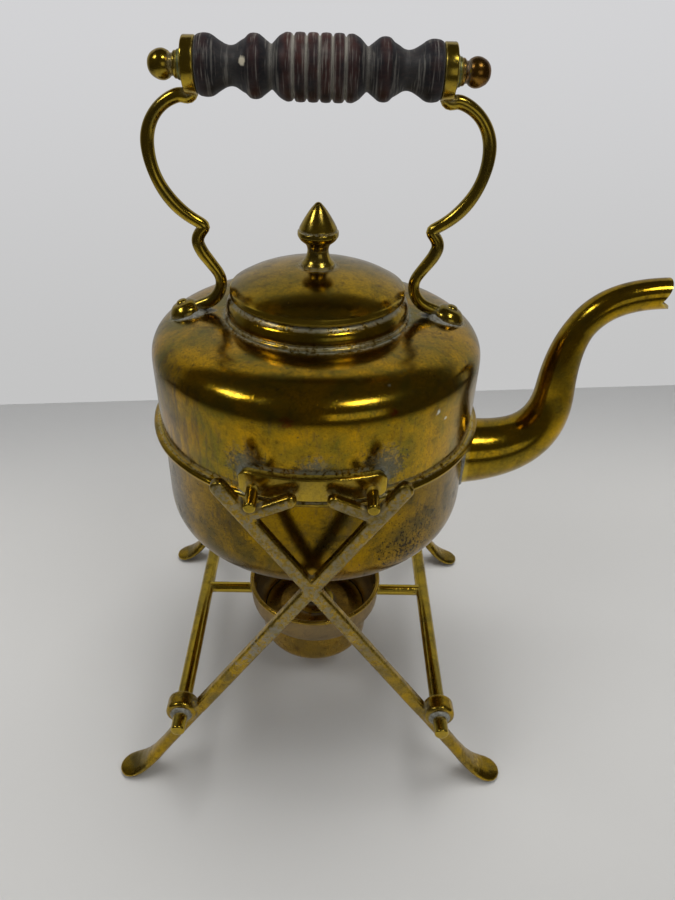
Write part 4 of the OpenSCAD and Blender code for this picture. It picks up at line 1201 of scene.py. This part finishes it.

# %% [markdown]
# The small pieces differ in use more than in metal. Hands and cloths reach the bars and the knob, which have
# the least grain, and the straps, which have the least crust. One finial has gone coppery, and the washers
# have a bloom of verdigris. The cup keeps a dull film on its upper wall, over a drum that was rubbed clean,
# and the lamp inside it is mixed darker, a painted shade for the inside of the cup.

# %% Mix the brasses of the small pieces and the cup
bar_brass = old_brass("drawn_bar_brass", "#b89a2c", "#857534", "#5c4c1c", "#8f9288", patch=16,
                      shine=0.12, crusting=0.6, sanded=0.1)
knob_brass = old_brass("turned_knob_brass", "#c4a636", "#857438", "#635026", "#b9b9ac", patch=12,
                       shine=0.12, crusting=0.9, sanded=0.15)
strap_brass = old_brass("rubbed_strap_brass", "#ccaa30", "#a89040", "#74622e", "#8a9490", patch=14,
                        shine=0.14, crusting=0.35)
finial_copper = old_brass("coppery_brass", "#94682c", "#6c4a24", "#40281a", "#8f9288", patch=9, shine=0.2)
washer_brass = old_brass("verdigris_washer_brass", "#9c8834", "#6c7444", "#4c4c28", "#7f9c88", patch=4,
                         shine=0.35)
# Painted shade: the lamp's brass is mixed darker than the cup's, for the shade inside the cup.
lamp_brass_painted_shade = old_brass("lamp_brass_painted_shade", "#a8822c", "#7a602c", "#4e3a1c", "#8f8a7a", patch=12, shine=0.25)


def cup_film(tree, place, _):
    """Dull film on the cup from its step to just under its rim."""
    where = add_node(tree, "ShaderNodeSeparateXYZ", {}, {"Vector": place})
    over = add_node(tree, "ShaderNodeMapRange", {"From Min": 42 * MM, "From Max": 46 * MM, "To Max": 0.5},
                    {"Value": where.outputs["Z"]})
    under = add_node(tree, "ShaderNodeMapRange", {"From Min": 60.5 * MM, "From Max": 59 * MM},
                     {"Value": where.outputs["Z"]})
    return add_node(tree, "ShaderNodeMath", {"operation": "MULTIPLY"}, {0: over, 1: under})


cup_brass = old_brass("cup_brass", "#c49c34", "#9c803a", "#6a5024", "#85796a", patch=20, shine=0.22,
                      crusting=0.6, film=cup_film)
print("nodes in the cup's brass:", len(cup_brass.node_tree.nodes))

# %% [markdown]
# Soft solder is a grey alloy of tin and lead. It stays dull and pale beside brass, and its
# surface is lumpy because it was never filed.

# %% Mix the solder
lump_size = 1.8
solder_stuff, tree = new_material("soft_solder")
place = add_node(tree, "ShaderNodeTexCoord", {}, {}).outputs["Object"]
lumps, tone = speckled(tree, place, lump_size, 5, 0.65, 0.35, 0.65)
bump = add_node(tree, "ShaderNodeBump", {"Strength": 0.8, "Distance": 0.3 * MM}, {"Height": lumps})
shader = add_node(tree, "ShaderNodeBsdfPrincipled", {"Metallic": 0.35, "Roughness": 0.55},
                  {"Base Color": painted(tree, "#6f6a5c", ("#a9aaa0", tone)), "Normal": bump})
add_node(tree, "ShaderNodeOutputMaterial", {}, {"Surface": shader})
print("solder lumps", lump_size, "mm")

# %% [markdown]
# ## Stained wood
#
# The grip is close-grained hardwood, stained nearly black and worn back by hands: the high
# beads have gone red-brown and glossy, the deep necks are blue-black, and every cut groove
# holds pale dust. These follow the distance from the rod, so the masks start from that
# distance. Fine grain runs along the grip, so its noise is stretched that way, and a second
# noise stretched round the grip gives the fine rings that the tool left.

# %% Stain the wood and draw its grain
grain_size, grain_stretch, ring_stretch = 0.9, 0.12, 0.06
wood_stuff, tree = new_material("stained_turned_hardwood")
place = add_node(tree, "ShaderNodeTexCoord", {}, {}).outputs["Object"]
centred = add_node(tree, "ShaderNodeVectorMath", {"operation": "SUBTRACT", 1: to_metres((0, 0, grip_z))},
                   {0: place})
split = add_node(tree, "ShaderNodeSeparateXYZ", {}, {"Vector": centred})
across = add_node(tree, "ShaderNodeCombineXYZ", {}, {"Y": split.outputs["Y"], "Z": split.outputs["Z"]})
radius = add_node(tree, "ShaderNodeVectorMath", {"operation": "LENGTH"}, {0: across}).outputs["Value"]
stretched = add_node(tree, "ShaderNodeVectorMath", {"operation": "MULTIPLY", 1: (grain_stretch, 1, 1)},
                     {0: centred})
grain, lines = speckled(tree, stretched, grain_size, 6, 0.6, 0.45, 0.68, most=0.45)
worn, settled = speckled(tree, place, 9, 5, 0.6, 0.35, 0.60, least=0.45)
handled = add_node(tree, "ShaderNodeMapRange", {"From Min": 8.5 * MM, "From Max": 11.6 * MM},
                   {"Value": radius})
rubbed = add_node(tree, "ShaderNodeMath", {"operation": "MULTIPLY"}, {0: handled, 1: worn})
red = add_node(tree, "ShaderNodeMapRange", {"From Min": 0.30, "From Max": 0.60}, {"Value": rubbed})
wood_colour = painted(tree, "#17171d", ("#41201a", red), ("#3c302c", lines))
print("wood grain", grain_size, "mm wide, drawn out", round(1 / grain_stretch), "times along the grip")

# %% [markdown]
# Dust lies in three places: in hollows, which ambient occlusion finds; in the cuts between the
# ribs, which are the points near the middle that lie less than the ribs' full radius from the
# rod; and thinly in the tool's rings. A small pale chip shows on the left.

# %% Settle the dust and finish the wood
hollow = add_node(tree, "ShaderNodeAmbientOcclusion", {"samples": 6, "Distance": 2.2 * MM}, {})
dusty = add_node(tree, "ShaderNodeMapRange", {"From Min": 0.93, "From Max": 0.62, "To Max": 0.9},
                 {"Value": hollow.outputs["AO"]})
along = add_node(tree, "ShaderNodeMath", {"operation": "ABSOLUTE"}, {0: split.outputs["X"]})
ribbed = add_node(tree, "ShaderNodeMapRange", {"From Min": 11.5 * MM, "From Max": 10.6 * MM},
                  {"Value": along})
cuts = add_node(tree, "ShaderNodeMapRange", {"From Min": 11.6 * MM, "From Max": 11.1 * MM, "To Max": 1.3},
                {"Value": radius})
rib_cuts = add_node(tree, "ShaderNodeMath", {"operation": "MULTIPLY"}, {0: cuts, 1: ribbed})
dusty = add_node(tree, "ShaderNodeMath", {"operation": "MAXIMUM"}, {0: dusty, 1: rib_cuts})
dust = add_node(tree, "ShaderNodeMath", {"operation": "MULTIPLY"}, {0: dusty, 1: settled})
dust.use_clamp = True
neck = add_node(tree, "ShaderNodeMapRange", {"From Min": 10.8 * MM, "From Max": 7.4 * MM, "To Max": 0.06},
                {"Value": radius})
ringed = add_node(tree, "ShaderNodeVectorMath",
                  {"operation": "MULTIPLY", 1: (1, ring_stretch, ring_stretch)}, {0: centred})
band = speckled(tree, ringed, grain_size, 3, 0.6, 0.53, 0.62, most=0.42)[1]
rings = add_node(tree, "ShaderNodeMath", {"operation": "MULTIPLY"}, {0: band, 1: settled})
dust = add_node(tree, "ShaderNodeMath", {"operation": "MAXIMUM"}, {0: dust, 1: neck})
dust = add_node(tree, "ShaderNodeMath", {"operation": "MAXIMUM"}, {0: dust, 1: rings})
chip = gathered(tree, near(tree, place, (-28.8, -9, grip_z + 2.7), 3.6, 0.8), worn, *island_lift)
wood_colour = painted(tree, wood_colour, ("#9a968c", dust), ("#d6cdb4", chip))
bump = add_node(tree, "ShaderNodeBump", {"Strength": 0.35, "Distance": 0.12 * MM}, {"Height": grain})
shader = add_node(tree, "ShaderNodeBsdfPrincipled", {"IOR": 1.5, "Specular IOR Level": 0.35},
                  {"Base Color": wood_colour, "Roughness": weighed(tree, 0.5, (dust, 0.3)), "Normal": bump})
add_node(tree, "ShaderNodeOutputMaterial", {}, {"Surface": shader})
print("nodes in the wood:", len(tree.nodes))

# %% [markdown]
# ## Cotton wick
#
# A braid of cotton cord. Two sets of slanting waves, one each way round, give the braid, and
# the top is singed brown by the flame.

# %% Mix the cotton
braid_size, braid_slant, singed_from, singed_full = 1.4, 0.6, 63, 66.5
waves_per_scale = 20
wick_stuff, tree = new_material("braided_cotton")
place = add_node(tree, "ShaderNodeTexCoord", {}, {}).outputs["Object"]
strands = []
for slant in (braid_slant, -braid_slant):
    leaning = add_node(tree, "ShaderNodeMapping", {"Rotation": (slant, slant, 0)}, {"Vector": place})
    wave = add_node(tree, "ShaderNodeTexWave",
                    {"bands_direction": "Z", "Scale": per_mm(braid_size) / waves_per_scale},
                    {"Vector": leaning})
    strands.append(wave.outputs["Fac"])
braid = add_node(tree, "ShaderNodeMath", {"operation": "MULTIPLY"}, {0: strands[0], 1: strands[1]})
tall = add_node(tree, "ShaderNodeSeparateXYZ", {}, {"Vector": place})
singed = add_node(tree, "ShaderNodeMapRange", {"From Min": singed_from * MM, "From Max": singed_full * MM},
                  {"Value": tall.outputs["Z"]})
cotton = painted(tree, "#8f8775", ("#d9d0bb", braid), ("#2b211a", singed))
bump = add_node(tree, "ShaderNodeBump", {"Strength": 0.8, "Distance": 0.3 * MM}, {"Height": braid})
shader = add_node(tree, "ShaderNodeBsdfPrincipled", {"Roughness": 0.9, "IOR": 1.47},
                  {"Base Color": cotton, "Normal": bump})
add_node(tree, "ShaderNodeOutputMaterial", {}, {"Surface": shader})
print("braid", braid_size, "mm, singed from", singed_from, "mm up")

# %% [markdown]
# ## Giving each piece its finish
#
# The list below is the kettle's parts list: piece, finish, and the slot of the measured model
# that the finish belongs to. The lamp and the ring under the lid keep their measured shapes,
# which are already right, and only get a finish.

# %% Dress the pieces
finishes = [
    (sheet_brass, "sheet_brass", ["upper_body_shell"]),
    (bowl_brass, "sheet_brass", ["bowl_shell"]),
    (plain_sheet, "sheet_brass", ["folded_seam", "lid_seat_collar", "domed_lid", "swan_neck_spout"]),
    (cast_brass, "cast_brass", ["front_cross_frame", "back_cross_frame"]),
    (bar_brass, "cast_brass", ["arm_left", "arm_right"]),
    (strap_brass, "cast_brass", ["front_strap", "back_strap"]),
    (bar_brass, "rod_brass", ["tie_bar_left", "tie_bar_right", "cup_carriers", "resting_pins",
                              "pouring_pins", "grip_rod", "pad_rivets", "ball_finial_left"]),
    (washer_brass, "rod_brass", ["finial_washers"]),
    (finial_copper, "rod_brass", ["ball_finial_right"]),
    (knob_brass, "cast_brass", ["acorn_knob"]),
    (cup_brass, "cup_brass", ["spirit_cup"]),
    (solder_stuff, "solder", ["spout_solder", "pad_solder_left", "pad_solder_right", "peg_solder"]),
    (wood_stuff, "turned_wood", ["turned_grip"]),
]
for stuff, slot_name, names in finishes:
    for name in names:
        made[name].data.materials.clear()
        made[name].data.materials.append(stuff)
for node_name, stuff in (("lamp_reservoir", lamp_brass_painted_shade), ("lamp_burner", lamp_brass_painted_shade),
                         ("lamp_wick", wick_stuff), ("lid_flange", plain_sheet)):
    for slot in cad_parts[node_name].material_slots:
        slot.material = stuff
undressed = [name for name, piece in made.items() if not piece.data.materials]
print(len(made), "pieces made, left without a finish:", undressed)

# %% [markdown]
# ## The table and the wall behind
#
# The kettle was photographed on a pale sheet of paper in front of a pale wall. Both are plain and matt. They
# are not part of the kettle.
#
# Polished brass shows its surroundings like a mirror. In the photograph it reflects a mostly dark room, and
# only the paper close to it is bright. So the paper shows its pale colour to the camera, and also to
# reflections, but only near the kettle: further off it turns dark for glossy rays, as the room was. Its
# colour is painted darker along the foot of the wall and towards the front, which is painted shade.

# %% Lay out the paper
def fading(tree, value, low, high, near_colour, far_colour):
    """Colour that runs softly from one to another as a value goes from low to high."""
    part = add_node(tree, "ShaderNodeMapRange",
                    {"interpolation_type": "SMOOTHSTEP", "From Min": low, "From Max": high},
                    {"Value": value})
    return painted(tree, near_colour, (far_colour, part))


wall_start, wall_end, wall_height = (-1400, 184), (1400, 465), 700
paper_half, paper_z = 2500, -0.05

paper_stuff, tree = new_material("matt_paper")
place = add_node(tree, "ShaderNodeNewGeometry", {}, {}).outputs["Position"]
wall_way = Vector((wall_start[1] - wall_end[1], wall_end[0] - wall_start[0], 0)).normalized()
depth = add_node(tree, "ShaderNodeVectorMath", {"operation": "DOT_PRODUCT", 1: wall_way},
                 {0: place}).outputs["Value"]
to_wall = Vector(to_metres((*wall_start, 0))).dot(wall_way)
# Painted shade: the paper's colour darkens towards the front and in a band along the foot of the wall.
front = add_node(tree, "ShaderNodeMapRange",
                 {"interpolation_type": "SMOOTHSTEP", "From Min": -0.10, "From Max": -0.28},
                 {"Value": depth})
shade = fading(tree, depth, to_wall - 0.21, to_wall, "#dad9d6", "#c6c6c5")
shade = painted(tree, shade, ("#cfcecb", front))
far = add_node(tree, "ShaderNodeVectorMath", {"operation": "LENGTH"}, {0: place})
dark = add_node(tree, "ShaderNodeMapRange", {"From Min": 0.34, "From Max": 0.75},
                {"Value": far.outputs["Value"]})
rays = add_node(tree, "ShaderNodeLightPath", {}, {})
mirror = add_node(tree, "ShaderNodeMath", {"operation": "MULTIPLY"},
                  {0: rays.outputs["Is Glossy Ray"], 1: dark})
matt = add_node(tree, "ShaderNodeBsdfDiffuse", {}, {"Color": shade})
room = add_node(tree, "ShaderNodeEmission", {"Color": linear("#46423a"), "Strength": 0.8}, {})
mix = add_node(tree, "ShaderNodeMixShader", {}, {0: mirror, 1: matt, 2: room})
add_node(tree, "ShaderNodeOutputMaterial", {}, {"Surface": mix})
print("the wall stands", round(to_wall * 1000), "mm behind the kettle")

# %% [markdown]
# The wall gives off its own painted light for the camera, darker towards the bottom, so that the lamps need
# not reach it. In reflections it is dimmer, most of all on the left, where the room was dark. From behind it
# can be looked through, so that it never hides the kettle.

# %% Stand the wall behind
wall_stuff, tree = new_material("matt_wall")
side = add_node(tree, "ShaderNodeNewGeometry", {}, {})
tall = add_node(tree, "ShaderNodeSeparateXYZ", {}, {"Vector": side.outputs["Position"]})
rays = add_node(tree, "ShaderNodeLightPath", {}, {})
leftward = add_node(tree, "ShaderNodeMapRange",
                    {"From Min": -0.75, "From Max": -0.35, "To Min": 0.25, "To Max": 0.66},
                    {"Value": tall.outputs["X"]})
dimmed = add_node(tree, "ShaderNodeMath", {"operation": "MAXIMUM"},
                  {0: rays.outputs["Is Camera Ray"], 1: leftward})
# Painted light: the wall glows, darker towards the bottom.
shade = fading(tree, tall.outputs["Z"], 0.0, 0.42, "#c4c4c4", "#d4d4d6")
shown = add_node(tree, "ShaderNodeEmission", {}, {"Color": shade, "Strength": dimmed})
matt = add_node(tree, "ShaderNodeBsdfDiffuse", {"Color": linear("#cfcfd0")}, {})
either = add_node(tree, "ShaderNodeMath", {"operation": "MAXIMUM"},
                  {0: rays.outputs["Is Camera Ray"], 1: rays.outputs["Is Glossy Ray"]})
mix = add_node(tree, "ShaderNodeMixShader", {}, {0: either, 1: matt, 2: shown})
through = add_node(tree, "ShaderNodeBsdfTransparent", {}, {})
mix = add_node(tree, "ShaderNodeMixShader", {}, {0: side.outputs["Backfacing"], 1: mix, 2: through})
add_node(tree, "ShaderNodeOutputMaterial", {}, {"Surface": mix})


def stage_sheet(name, corners, stuff):
    """A flat sheet with its corners about the kettle's axis in millimetres."""
    mesh = bpy.data.meshes.new(name)
    mesh.from_pydata([to_metres(c) for c in corners], [], [tuple(range(len(corners)))])
    mesh.materials.append(stuff)
    thing = bpy.data.objects.new(name, mesh)
    bpy.context.scene.collection.objects.link(thing)


stage_sheet("paper", [(-paper_half, -paper_half, paper_z), (paper_half, -paper_half, paper_z),
                      (paper_half, paper_half, paper_z), (-paper_half, paper_half, paper_z)], paper_stuff)
stage_sheet("wall", [(*wall_start, paper_z), (*wall_end, paper_z), (*wall_end, wall_height),
                     (*wall_start, wall_height)], wall_stuff)
print("wall from", wall_start, "to", wall_end)

# %% [markdown]
# ## Light
#
# Two windows light the brass: a long bright patch runs down each flank. Polished metal and matt
# surfaces are lit by different lamps here. Two small bright windows and a low sheen in front
# show only as reflections. Two wide skies and a ceiling light the matt surfaces and make the
# soft shadow, and the world gives the dim light of the room.

# %% Hang the lamps
lamp_target = Vector(to_metres((0, 0, 170)))


def soft_lamp(name, way, distance, width, height, power, mirrored_only=False):
    """Area lamp seen from the kettle in a direction, for reflections only or for all the rest."""
    light = bpy.data.lights.new(name, "AREA")
    light.shape, light.size, light.size_y, light.energy = "RECTANGLE", width, height, power
    lamp = bpy.data.objects.new(name, light)
    lamp.location = lamp_target + Vector(way).normalized() * distance
    lamp.rotation_euler = (-Vector(way)).to_track_quat("-Z", "Y").to_euler()
    lamp.visible_glossy, lamp.visible_diffuse = mirrored_only, not mirrored_only
    bpy.context.scene.collection.objects.link(lamp)


soft_lamp("left_window", (-0.64, -0.25, 0.72), 1.5, 0.30, 0.28, 3.3, True)
soft_lamp("right_window", (0.37, -0.40, 0.84), 1.5, 0.32, 0.25, 3.1, True)
soft_lamp("low_sheen", (0.415, -0.894, 0.20), 1.5, 0.9, 0.6, 0.8, True)
soft_lamp("left_sky", (-0.60, -0.35, 0.80), 1.8, 0.8, 0.6, 4.5)
soft_lamp("right_sky", (0.45, -0.45, 0.85), 1.8, 0.8, 0.6, 5.6)
soft_lamp("ceiling", (0.05, 0.12, 1.0), 1.4, 0.8, 0.8, 11.2)
print(len(bpy.data.lights), "lamps")

# %% [markdown]
# The world is the room. It is dim for matt surfaces and brown for reflections, and the camera
# sees it as pale as the wall.

# %% Fill the room with dim light
world = bpy.data.worlds.new("room")
bpy.context.scene.world = world
world.use_nodes = True
tree = world.node_tree
tree.nodes.clear()
rays = add_node(tree, "ShaderNodeLightPath", {}, {})
dim = add_node(tree, "ShaderNodeBackground", {"Color": linear("#c8c8ca"), "Strength": 0.28}, {})
seen = add_node(tree, "ShaderNodeBackground", {"Color": linear("#d0d0d2"), "Strength": 1.0}, {})
dark = add_node(tree, "ShaderNodeBackground", {"Color": linear("#4a463f"), "Strength": 0.8}, {})
mirror = add_node(tree, "ShaderNodeMixShader", {}, {0: rays.outputs["Is Glossy Ray"], 1: dim, 2: dark})
pick = add_node(tree, "ShaderNodeMixShader", {}, {0: rays.outputs["Is Camera Ray"], 1: mirror, 2: seen})
add_node(tree, "ShaderNodeOutputWorld", {}, {"Surface": pick})
bpy.context.scene.view_settings.view_transform = "Standard"
print("the room's own light has strength", dim.inputs["Strength"].default_value)
